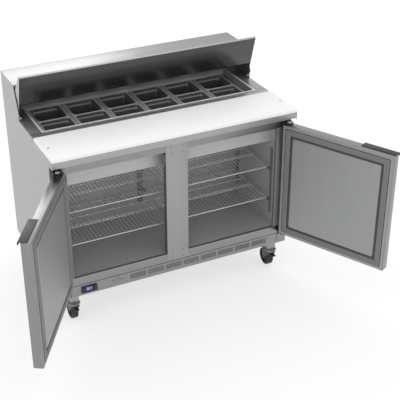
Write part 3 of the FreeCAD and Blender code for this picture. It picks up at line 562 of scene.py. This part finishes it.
deckShape = {"half": 607.8, "wellFront": -408.0, "wellHalf": 545.0, "rear": -88.2, "top": 898.0,
             "gauge": 1.5, "bend": 2.0,
             "line": [(-408, 898), (-472, 898), (-472, 890.3), (-721.5, 890.3), (-721.5, 860.6),
                      (-699.5, 860.6)],
             "endHalf": 609.5, "endLow": 857.0, "endHigh": 890.2, "endFront": -721.5, "endRear": -472.2}
half = deckShape["half"]
deckPiece = Piece()
deckLine = sheetOutline(deckShape["line"], deckShape["gauge"], deckShape["bend"])
deckPiece.prism(deckLine, "yz", -half, half, 0.25)
for side in (-1, 1):
    inner, outer = sorted((side * deckShape["wellHalf"], side * half))
    deckPiece.box((inner, deckShape["wellFront"], deckShape["top"] - deckShape["gauge"]),
                  (outer, deckShape["rear"], deckShape["top"]), 0.25)
    inner, outer = sorted((side * deckShape["endHalf"], side * half))
    deckPiece.box((inner, deckShape["endFront"], deckShape["endLow"]),
                  (outer, deckShape["endRear"], deckShape["endHigh"]), 0.5)
deckPiece.done("deckSheet", "cabinet", deckSteel, ("deck",), "satin_steel")

low, high = nodeBox("cutting_board")
Piece().box(low, high, 2.6, 4).done("choppingBoard", "cabinet", boardWhite, ("cutting_board",),
                                    "board_plastic")

# sections are rows of side inset, front inset and level
rail = {"half": 545.0, "front": -408.0, "rear": -88.0, "rearStop": -88.4, "corner": 5.0,
        "section": [(-8, -8, 898.1), (-8, -8, 899.7), (-7.4, -7.4, 900.2), (0.9, 0.9, 900.2),
                    (1.6, 1.6, 899.6), (1.6, 1.6, 871.0), (3.4, 3.4, 868.1), (14.2, 6.6, 868.1),
                    (15, 7, 867.4), (14.2, 6.6, 866.6), (1.8, 1.8, 866.6), (0.2, 0.2, 868.4),
                    (0.2, 0.2, 897.9), (-7.4, -7.4, 897.9)],
        # thin band over the rail's top edge, drawn brighter as a painted highlight
        "bead": [(-8.1, -8.1, 898.4), (-8.1, -8.1, 899.9), (-7.4, -7.4, 900.4), (0.6, 0.6, 900.4),
                 (1.4, 1.4, 900.0), (1.4, 1.4, 898.4)],
        "crossBar": ((-531, -253, 856), (531, -243, 868))}


def railRing(section):
    loops = []
    for insetX, insetY, level in section + section[:1]:
        corners = roundedLoop(-rail["half"] + insetX, rail["front"] + insetY, rail["half"] - insetX,
                              min(rail["rear"] - insetY, rail["rearStop"]), rail["corner"])
        loops.append([(p[0], p[1], level) for p in corners])
    ring = Piece().loft(loops, False, False)
    bmesh.ops.remove_doubles(ring.mesh, verts=ring.mesh.verts, dist=1e-6)
    return ring


railPiece = railRing(rail["section"])
railPiece.box(*rail["crossBar"], 1.6, 3)
# the rail's top edge covered by a brighter band: painted highlight
railPaintedHighlight = railRing(rail["bead"])
railPaintedHighlight.done("wellRailPaintedHighlight", "cabinet", beadSteel, (), "satin_steel")
railPiece.done("panWellRail", "cabinet", wellSteel, ("pan_rail",), "satin_steel")

bars = {"pitch": 176.7, "half": 11.0, "front": -404.5, "rear": -91.5, "low": 868.2, "top": 870.0}
barPiece = Piece()
for place in range(-2, 3):
    x = place * bars["pitch"]
    left, right = x - bars["half"], x + bars["half"]
    fold = [(right, bars["low"]), (right, bars["top"]), (left, bars["top"]), (left, bars["low"])]
    barPiece.prism(sheetOutline(fold, 0.9, 0.8), "xz", bars["front"], bars["rear"], 0.0)
barPiece.done("panDividerBars", "cabinet", barSteel, ("divider_bars",), "satin_steel")

foodPan = {
    "wide": 170.0, "deep": 155.0, "pitch": 176.7, "rows": {"front": -326.5, "rear": -169.5},
    "lip": {"rim": (0.0, 0.0), "tub": (11.0, 5.0)},
    # edge measured from, inset, level, corner radius
    "tub": [("tub", 16, 771.4, 14), ("tub", 9.2, 771.9, 18), ("tub", 5.6, 776, 20), ("tub", 3.2, 852, 21),
            ("tub", 0.4, 857, 21), ("tub", 0.2, 871.4, 21), ("tub", 1.2, 871.4, 20), ("tub", 1.6, 857.4, 20),
            ("tub", 2.4, 855.4, 20), ("tub", 4.2, 853.4, 19), ("tub", 4.8, 851, 19), ("tub", 6.9, 779, 18),
            ("tub", 7.8, 775.4, 18), ("tub", 10.6, 773, 17), ("tub", 17, 772.6, 13)],
    "rim": [("tub", -0.4, 870.2, 20), ("rim", 0.8, 870.2, 9), ("rim", 0, 870.7, 9), ("rim", 0, 871.6, 9),
            ("rim", 0.7, 872.2, 9), ("tub", 0.2, 872.2, 20), ("tub", 1.1, 871.7, 20),
            ("tub", 1.1, 870.2, 20)]}


def panLoops(rows, x, y):
    loops = []
    for edge, inset, level, radius in rows:
        sideLip, frontLip = foodPan["lip"][edge]
        halfWide = foodPan["wide"] / 2 - inset - sideLip
        halfDeep = foodPan["deep"] / 2 - inset - frontLip
        corners = roundedLoop(x - halfWide, y - halfDeep, x + halfWide, y + halfDeep, radius, 6)
        loops.append([(p[0], p[1], level) for p in corners])
    return loops


for row, centreY in foodPan["rows"].items():
    for place in range(6):
        x = (place - 2.5) * foodPan["pitch"] + random.uniform(-0.35, 0.35)
        # the pan tub in the darker steel: painted shade inside the pan
        Piece().loft(panLoops(foodPan["tub"], x, centreY)).done(
            row + "FoodPan" + str(place + 1), "cabinet", panSteelPaintedShade, (row + "_pans",), "pan_steel", 50)
        # the rim in the lighter steel: painted highlight along the rim
        rimLoops = panLoops(foodPan["rim"] + foodPan["rim"][:1], x, centreY)
        rimPiece = Piece().loft(rimLoops, False, False)
        bmesh.ops.remove_doubles(rimPiece.mesh, verts=rimPiece.mesh.verts, dist=1e-6)
        rimPiece.done(row + "PanRim" + str(place + 1), "cabinet", rimSteelPaintedHighlight, (), "pan_steel", 50)
print("deck, board and pans shaped")


def carve(piece, cutter):
    # piece with the cutter's shapes taken out of it
    made = []
    for part in (piece, cutter):
        mesh = bpy.data.meshes.new("carving")
        part.mesh.to_mesh(mesh)
        part.mesh.free()
        thing = bpy.data.objects.new("carving", mesh)
        bpy.context.scene.collection.objects.link(thing)
        made.append(thing)
    cutting = made[0].modifiers.new("cut", "BOOLEAN")
    cutting.operation = "DIFFERENCE"
    cutting.solver = "EXACT"
    cutting.object = made[1]
    shaped = made[0].evaluated_get(bpy.context.evaluated_depsgraph_get())
    result = Piece()
    result.mesh.from_mesh(shaped.to_mesh())
    shaped.to_mesh_clear()
    for thing in made:
        mesh = thing.data
        bpy.data.objects.remove(thing)
        bpy.data.meshes.remove(mesh)
    return result


frontFace = -671.0
low, high = nodeBox("top_rail")
Piece().box(low, high, 0.8).done("topRailSheet", "cabinet", steelX, ("top_rail",), "satin_steel")
low, high = nodeBox("sill")
Piece().box(low, high, 1.6, 3).done("sillSheet", "cabinet", steelX, ("sill",), "satin_steel")
post = {"low": 251.5, "high": 801.0}
jamb = {"inner": 532, "outer": 608, "deep": 14, "slotAt": 541, "slotHalf": 4, "slotLow": 770, "slotHigh": 793}
jambPiece = Piece()
for side in (-1, 1):
    inner, outer = sorted((side * jamb["inner"], side * jamb["outer"]))
    blank = Piece().box((inner, frontFace, post["low"]), (outer, frontFace + jamb["deep"], post["high"]), 0.9)
    slotX = side * jamb["slotAt"]
    slots = Piece().box((slotX - jamb["slotHalf"], frontFace - 4, jamb["slotLow"]),
                        (slotX + jamb["slotHalf"], frontFace + 3, jamb["slotHigh"]), 0.5)
    jambPiece.take(carve(blank, slots).mesh)
# the jambs take the darker steel tone: painted shade
jambPiece.done("jambSheets", "cabinet", jambSteelPaintedShade, ("side_jambs",), "satin_steel")
mullion = {"half": 56, "deep": 30, "plateLow": 211.5, "plateHigh": 837}
mullionPiece = Piece()
mullionPiece.box((-mullion["half"], frontFace, post["low"]),
                 (mullion["half"], frontFace + mullion["deep"], post["high"]), 1.2)
mullionPiece.box((-mullion["half"], frontFace - 1, mullion["plateLow"]),
                 (mullion["half"], frontFace - 0.05, mullion["plateHigh"]), 0.4)
mullionPiece.done("mullionPost", "cabinet", steelZ, ("mullion",), "satin_steel")

louver = {"half": 556.0, "low": 148.6, "high": 205.0, "first": -255.0, "pitch": 95.0, "wide": 83.0,
          "windows": 8, "windowLow": 167.6, "windowHigh": 195.0, "blades": 4, "gauge": 1.5,
          "holes": ((-344, 186), (-330, 190), (-318, 192), (-306, 190), (-318, 180), (-300, 178),
                    (-288, 182), (-334, 172))}
windowStarts = [louver["first"] + louver["pitch"] * place for place in range(louver["windows"])]
plate = Piece().box((-louver["half"], frontFace, louver["low"]),
                    (louver["half"], frontFace + louver["gauge"], louver["high"]), 0.4)
windows = Piece()
for x in windowStarts:
    windows.box((x, frontFace - 5, louver["windowLow"]),
                (x + louver["wide"], frontFace + 6, louver["windowHigh"]), 0)
for x, z in louver["holes"]:
    windows.turn([(0, -5), (2.6, -5), (2.6, 6), (0, 6)], (x, frontFace, z), "y", 12)
louverPiece = carve(plate, windows)
louverPiece.box((-louver["half"], frontFace + 1.4, louver["low"]),
                (louver["half"], frontFace + 10, louver["low"] + louver["gauge"]), 0.4)
louverPiece.done("louverSheet", "cabinet", steelX, ("louver_panel",), "satin_steel")
bladePiece = Piece()
step = (louver["windowHigh"] - louver["windowLow"]) / louver["blades"]
for x in windowStarts:
    for row in range(louver["blades"]):
        z = louver["windowLow"] + step * (row + 0.5)
        blade = [(frontFace + 0.1, z - 1.6), (frontFace + 0.7, z - 1.9), (frontFace + 1.5, z + 1.4),
                 (frontFace + 1.1, z + 1.8), (frontFace + 0.2, z + 1.2)]
        bladePiece.prism(blade, "yz", x - 1, x + louver["wide"] + 1, 0.0)
bladePiece.done("louverBlades", "cabinet", steelX, (), "galvanised_steel")
seamPiece = Piece()
for side in (-1, 1):
    near, far = sorted((side * (louver["half"] - 2.2), side * louver["half"]))
    seamPiece.box((near, frontFace - 0.3, 151), (far, frontFace + 1, 201), 0.2)
seamPiece.done("louverSeams", "cabinet", blackSteel, (), "black_steel")
# a black sheet just behind the louvre windows and small holes: painted shade where the space behind lies in
# shadow
Piece().box((louver["first"] - 100, frontFace + 5, 160), (495, frontFace + 6.5, 203), 0.3).done(
    "louverPaintedShade", "cabinet", blackSteel, (), "black_steel")

gusset = {"inner": 557.2, "outer": 607.8, "low": 148.6, "high": 206.4, "footLow": 173.5, "footHigh": 175.0}
gussetPiece = Piece()
for side in (-1, 1):
    inner, outer = sorted((side * gusset["inner"], side * gusset["outer"]))
    gussetPiece.box((inner, frontFace, gusset["low"]), (outer, frontFace + 1.5, gusset["high"]), 0.5)
    gussetPiece.box((inner, frontFace + 1.4, gusset["footLow"]),
                    (outer, frontFace + 50, gusset["footHigh"]), 0.4)
gussetPiece.done("baseCorners", "cabinet", steelX, ("corner_gussets",), "satin_steel")

# sections are rows of radius and height
screws = {"head": [(0, -0.9), (1.2, -0.9), (1.5, -2.1), (3.0, -1.8), (4.0, -1.0), (4.2, 0.0)],
          "peg": [(4.4, 0.0), (4.2, 1.2), (3.4, 1.9), (1.6, 2.1), (1.2, 1.2), (0, 1.2)],
          "pegAt": (584.6, -602, 907.6)}
screwSpots = [(x, frontFace - 1, z) for x in (-28, 28) for z in (825, 790.6, 261, 222.6)]
screwSpots += [(-512, frontFace, 179.6), (-414, frontFace, 166.6), (500, frontFace, 194.6)]
screwPiece = Piece()
for spot in screwSpots:
    screwPiece.turn(screws["head"], spot, "y", 20)
pegX, pegY, pegZ = screws["pegAt"]
for side in (-1, 1):
    screwPiece.turn(screws["peg"], (side * pegX, pegY, pegZ), "z", 20)
screwPiece.done("panelScrews", "cabinet", screwMetal, ("panel_screws",), "screw_steel")
print("front frame shaped")

shelf = {"levels": (385.0, 560.0), "bays": ((-535.0, -12.0), (12.0, 535.0)), "front": -602.0, "rear": -252.0,
         "rail": 2.5, "wire": 1.5, "pitch": 19.0, "rows": (150.0, 165.0, 235.0)}
shelfPiece = Piece()
for level in shelf["levels"]:
    for left, right in shelf["bays"]:
        middle = level + 2.5
        ring = [(left + 2.5, shelf["front"] + 2.5), (right - 2.5, shelf["front"] + 2.5),
                (right - 2.5, shelf["rear"] - 2.5), (left + 2.5, shelf["rear"] - 2.5)]
        corners = arcCorners(ring, 9, 5)
        shelfPiece.tube([(p[0], p[1], middle) for p in corners + corners[:2]], shelf["rail"], 10, False)
        for row in shelf["rows"]:
            y = shelf["front"] + row + 2.5
            shelfPiece.tube([(left + 3, y, middle), (right - 3, y, middle)], shelf["rail"], 8)
        count = int((right - left) // shelf["pitch"])
        for place in range(1, count):
            x = left + place * (right - left) / count + random.uniform(-0.4, 0.4)
            shelfPiece.tube([(x, shelf["front"] + 1.0, middle + 0.6), (x, shelf["front"] + 4.0, middle + 2.9),
                             (x, shelf["rear"] - 4.0, middle + 2.9), (x, shelf["rear"] - 1.0, middle + 0.6)],
                            shelf["wire"], 6)
shelfPiece.done("wireShelves", "cabinet", wireCoat, ("wire_shelves",), "coated_wire", 60)
print("shelves shaped")

door = {"edge": 604.0, "wide": 588.0, "low": 222.0, "high": 828.5, "outer": -722.0, "inner": -677.0,
        "hingeX": 582.0, "hingeY": -703.0, "field": 60.0, "handleLong": 176.0, "handleReach": 12.0}
# inset from the door's edge, depth behind the outer face, corner radius
doorTray = [(4.2, 45.0, 3), (1.6, 44.0, 3), (0.5, 42.6, 3), (0, 40.6, 3), (0, 3.2, 3), (0.9, 1.0, 3),
            (3.0, 0, 3)]
doorHollow = [(3.2, 1.6, 3), (1.5, 3.4, 2.5), (1.5, 40.0, 2.5), (2.4, 42.8, 2.5)]
# gasket section: inset and height above the inner pan
gasketFolds = [(20, 0.0), (20, 1.8), (20.8, 3.2), (22.4, 4.3), (25.0, 4.5), (27.2, 3.4), (28.2, 2.2),
               (29.4, 3.4), (31.6, 4.5), (35.2, 4.5), (37.4, 3.4), (38.4, 2.2), (39.6, 3.4), (41.6, 4.3),
               (44.2, 4.2), (45.6, 3.0), (46, 1.6), (46, 0.0)]
for side, tag in ((-1, "left"), (1, "right")):
    turn = Matrix.Rotation(math.radians(doorOpen[side]), 4, "Z")
    hinge = Vector((side * door["hingeX"], door["hingeY"], 0)) * mm
    swing = Matrix.Translation(hinge) @ turn @ Matrix.Translation(-hinge)
    xLow, xHigh = sorted((side * door["edge"], side * (door["edge"] - door["wide"])))

    def doorLoop(inset, y, radius):
        corners = roundedLoop(xLow + inset, door["low"] + inset, xHigh - inset, door["high"] - inset,
                              radius, 4)
        return [(p[0], y, p[1]) for p in corners]

    tray = [doorLoop(i, door["outer"] + d, r) for i, d, r in doorHollow + doorTray]
    skin = Piece().loft(tray)
    for low in (door["low"], door["high"] - 20.0):
        skin.turn([(5.4, 0.4), (8.6, 0.4), (9.0, 1.0), (9.0, 19.2), (8.6, 19.8), (5.4, 19.8)],
                  (side * door["hingeX"], door["hingeY"], low), "z", 28)
    skin.moved(swing).done(tag + "DoorSkin", tag + "_door", doorSteel[side], (tag + "_door_skin",),
                           "satin_steel")

    panFace = door["inner"] - 0.1
    raised = door["field"]
    steps = [(4.4, -1.5, 3), (4.4, -0.2, 3), (4.7, 0, 3), (raised - 3.5, 0, 8), (raised - 1.0, 0.6, 8),
             (raised, 2.0, 8), (raised + 0.6, 3.2, 8), (raised + 2.2, 3.9, 8), (raised + 5, 4.0, 8)]
    pan = Piece().loft([doorLoop(i, panFace + d, r) for i, d, r in steps])
    pan.moved(swing).done(tag + "DoorInnerPan", tag + "_door", doorInner, (tag + "_door_liner",),
                          "door_liner_plastic", 20)

    folds = [doorLoop(i, panFace + h, 6) for i, h in gasketFolds]
    gasket = Piece().loft(folds + folds[:1], False, False)
    bmesh.ops.remove_doubles(gasket.mesh, verts=gasket.mesh.verts, dist=1e-6)
    # two near-black rings in the gasket's folds: painted shade where the folds lie in shadow
    for inner, outer in ((46.4, 59.4), (16.4, 19.6)):
        section = ((inner, 0.05), (inner, 0.5), (inner + 0.6, 0.8), (outer - 0.6, 0.8), (outer, 0.5),
                   (outer, 0.05))
        shadeRing = Piece().loft([doorLoop(i, panFace + h, 6) for i, h in section], False, False)
        shadeRing.moved(swing).done(tag + "DoorPaintedShadeRing" + str(int(outer)), tag + "_door", gasketPaintedShade, (),
                                 "gasket_rubber", 40)
    gasket.moved(swing).done(tag + "DoorGasket", tag + "_door", gasketRubber, (tag + "_door_gasket",),
                             "gasket_rubber", 60)

    freeEdge = side * (door["edge"] - door["wide"])
    gripLow, gripHigh = sorted((freeEdge, freeEdge + side * door["handleLong"]))
    top = door["high"]
    reach = door["outer"] - door["handleReach"]
    grip = sheetOutline([(door["outer"] + 28, top + 3.5), (reach, top + 3.5), (reach, top - 12)], 3.0, 4.0, 5)
    handle = Piece().prism(grip, "yz", gripLow, gripHigh, 0.9, 3)
    handle.moved(swing).done(tag + "DoorPull", tag + "_door", blackPlastic, (tag + "_door_handle",),
                             "black_plastic")
print("doors shaped")

bracketPiece = Piece()
pinPiece = Piece()
for side in (-1, 1):
    x = side * door["hingeX"]
    for level, above in ((door["high"] + 1, True), (door["low"] - 7, False)):
        outline = arcCorners([(x - 20, frontFace), (x - 20, -712), (x + 20, -712), (x + 20, frontFace)],
                             [1, 10, 10, 1], 5)
        bracketPiece.prism(outline, "xy", level, level + 6, 0.8)
        footLow = level if above else level - 14
        bracketPiece.box((x - 20, frontFace - 4, footLow), (x + 20, frontFace, footLow + 20), 0.8)
        pinLow = door["high"] - 16 if above else door["low"] - 6
        pinPiece.turn([(0, pinLow), (4.4, pinLow), (5, pinLow + 0.8), (5, pinLow + 23.2), (4.4, pinLow + 24),
                       (0, pinLow + 24)], (x, door["hingeY"], 0), "z", 24)
        cap = level + 6 if above else level - 2
        capShape = [(0, cap), (10.4, cap), (11, cap + 0.6), (11, cap + 1.4), (10.2, cap + 2), (0, cap + 2)]
        pinPiece.turn(capShape, (x, door["hingeY"], 0), "z", 28)
bracketPiece.done("hingeBrackets", "cabinet", blackSteel, ("hinge_brackets",), "black_steel")
# hinge caps and pins in the near-white steel: partly a painted highlight
pinPiece.done("hingePins", "cabinet", brightSteelPaintedHighlight, (), "screw_steel")

lid = {"half": 606.3, "pivot": (0, -249.0, 910.0), "open": -72.5, "gauge": 1.5}
tip = Matrix.Translation(Vector(lid["pivot"]) * mm) @ Matrix.Rotation(math.radians(lid["open"]), 4, "X")
lidSheet = Piece()
lidSheet.prism(sheetOutline([(36.4, 128.7), (-229, 19), (-228.5, 7)], lid["gauge"], 2.5), "yz",
               -lid["half"], lid["half"], 0.3)
cheek = arcCorners([(-228.3, 7.2), (-228.6, 18.6), (36, 128.2), (-62, 22), (9.5, 9.5), (9.5, -9.5),
                    (-9.5, -9.5), (-24, 7)], [1, 2, 1, 14, 6, 8, 8, 8], 5)
for side in (-1, 1):
    inner, outer = sorted((side * (lid["half"] - lid["gauge"]), side * lid["half"]))
    lidSheet.prism(cheek, "yz", inner, outer, 0.3)
lidSheet.moved(tip).done("lidSheet", "lid", lidSteel, ("lid_skin",), "satin_steel")
innerLid = [(-226.8, 7.2), (-74.5, 7.2), (35.6, 125.0), (34.2, 125.9), (-75.3, 8.8), (-226.8, 8.8)]
Piece().prism(innerLid, "yz", -604.4, 604.4, 0.3).moved(tip).done(
    "lidInnerPan", "lid", lidInsidePaintedShade, ("lid_liner",), "dark_steel")
print("lid shaped")

control = {"left": -504.0, "low": 160.6, "wide": 80.0, "high": 36.0, "proud": 6.5, "digits": "38.5"}
cx, cz = control["left"], control["low"]
faceY = frontFace - control["proud"]
blank = Piece()
frames = [(0, frontFace, 4), (0, faceY + 1.4, 4), (0.5, faceY + 0.4, 4), (1.6, faceY, 4)]
cRight, cTop = cx + control["wide"], cz + control["high"]
blank.loft([[(p[0], y, p[1]) for p in roundedLoop(cx + i, cz + i, cRight - i, cTop - i, r)]
            for i, y, r in frames])
cutter = Piece().box((cx + 18, faceY - 3, cz + 8), (cx + 60, frontFace - 2, cz + 30), 0.8)
for row in range(2):
    cutter.box((cx + 66, faceY - 3, cz + 6 + 16 * row), (cx + 73, frontFace + 3, cz + 12 + 16 * row), 0.5)
carve(blank, cutter).done("controllerFrame", "cabinet", panelPlastic, ("controller_bezel",), "black_plastic")
Piece().box((cx + 18.2, frontFace - 4, cz + 8.2), (cx + 59.8, frontFace - 2.1, cz + 29.8), 0.3).done(
    "displayWindow", "cabinet", panelPlastic, ("controller_display",), "display")
segments = {"a": (1, 14, 7, 15.4), "b": (6.6, 8, 8, 14.6), "c": (6.6, 1, 8, 7.4), "d": (1, 0, 7, 1.4),
            "e": (0, 1, 1.4, 7.4), "f": (0, 8, 1.4, 14.6), "g": (1, 7, 7, 8.4)}
lit = {"3": "abcdg", "8": "abcdefg", "5": "acdfg"}
digitPiece = Piece()
pen = cx + 23
for sign in control["digits"]:
    if sign == ".":
        digitPiece.box((pen - 1.4, frontFace - 4.6, cz + 11.4), (pen + 0.2, frontFace - 4.05, cz + 13), 0.1)
        pen += 1.6
        continue
    for name in lit[sign]:
        x0, z0, x1, z1 = segments[name]
        digitPiece.box((pen + x0, frontFace - 4.6, cz + 11.4 + z0),
                       (pen + x1, frontFace - 4.05, cz + 11.4 + z1), 0.15)
    pen += 10.6
digitPiece.done("displayDigits", "cabinet", digitGlow, (), "display")
for name in ("down_key", "up_key"):
    low, high = nodeBox(name)
    body = [b for b, nodes in frame["record"]["behaviour"]["bodies"].items() if name in nodes][0]
    Piece().box(low, high, 1.0, 3).done(name.replace("_key", "Key"), body, blackPlastic, (name,),
                                        "black_plastic")
print("controls shaped")

# half the wheel's section, from the hub outward to the groove round the tread
wheelHalf = [(5.3, -15.4), (12, -15.4), (13, -14.4), (14, -9), (22, -7), (23, -9.5), (25, -9.5), (26, -7),
             (30, -7), (33, -9), (34.5, -14.6), (36, -15.6), (38, -15.9), (38.6, -14.9), (39.4, -14.9),
             (40, -15.9), (42, -15.9), (44.6, -14.6), (45.6, -12), (46, -8), (46, -1.2), (45, -0.6)]
wheelSection = wheelHalf + [(radius, -height) for radius, height in wheelHalf[::-1]] + wheelHalf[:1]
for name in ("front_left", "front_right", "rear_left", "rear_right"):
    low, high = nodeBox(name + "_caster_wheel")
    centre = [(a + b) / 2 for a, b in zip(low, high)]
    label = name.replace("_l", "L").replace("_r", "R")
    tread = Piece().turn(wheelSection, centre, "x", 48)
    bmesh.ops.remove_doubles(tread.mesh, verts=tread.mesh.verts, dist=1e-6)
    tread.done(label + "Wheel", name + "_wheel", wheelRubber, (name + "_caster_wheel",), "wheel_rubber", 40)
    x, y, z = centre
    back = y - 35
    fork = Piece()
    legs = Piece()
    legShape = arcCorners([(back - 16, 96), (back + 44, 96), (y + 8, 38), (y - 7, 38), (back - 16, 84)],
                          [3, 8, 7, 7, 8], 5)
    for side in (-1, 1):
        inner, outer = sorted((x + side * 18, x + side * 21))
        legs.prism(legShape, "yz", inner, outer, 0.7)
    fork.box((x - 21, back - 20, 93.5), (x + 21, back + 52, 96.5), 1.0)
    fork.turn([(0, 96), (25, 96), (26, 97), (26, 99.3), (25.2, 100), (8.0, 100), (8.0, 106), (0, 106)],
              (x, back, 0), "z", 36)
    legs.turn([(0, -22), (7, -22), (7.6, -21.4), (5.0, -18), (5.0, 18), (7.6, 21.4), (7, 22), (0, 22)],
              (x, y, z), "x", 24)
    legs.done(label + "ForkLegs", name + "_swivel", blackSteel, (), "black_steel")
    if "front" in name:
        fork.turn([(0, -20), (2.5, -20), (2.5, 20), (0, 20)], (x, back - 13, 83), "x", 16)
    fork.done(label + "Fork", name + "_swivel", zincSteel, (name + "_caster_fork",), "black_steel")
    if "front" in name:
        pedal = Piece()
        pinY = back - 13
        near, far = pinY + 1, pinY - 31.6
        shape = arcCorners([(x - 11, near), (x - 11, far), (x + 11, far), (x + 11, near)], [1, 6, 6, 1], 5)
        pedal.prism(shape, "xy", 81, 85, 0.8)
        pedal.turn([(2.6, -15), (4.6, -15), (5, -14.4), (5, 14.4), (4.6, 15), (2.6, 15), (2.6, -15)],
                   (x, pinY, 83), "x", 20)
        bmesh.ops.remove_doubles(pedal.mesh, verts=pedal.mesh.verts, dist=1e-6)
        pedal.done(label + "BrakePedal", name + "_pedal", blackSteel, (name + "_brake_pedal",), "black_steel")
print("casters shaped")

low, high = nodeBox("power_inlet")
gx, gz = (low[0] + high[0]) / 2, (low[2] + high[2]) / 2
glandSection = [(0, 0.1), (11, 0.1), (11, 5), (9.5, 5.6), (9.5, 9), (8.6, 12.6), (7, 13.9), (4.6, 13.9),
                (4.2, 8), (0, 8)]
gland = Piece().turn(glandSection, (gx, 0, gz), "y", 36)
gland.done("powerGland", "cabinet", blackPlastic, ("power_inlet",), "black_plastic")
print("gland shaped")
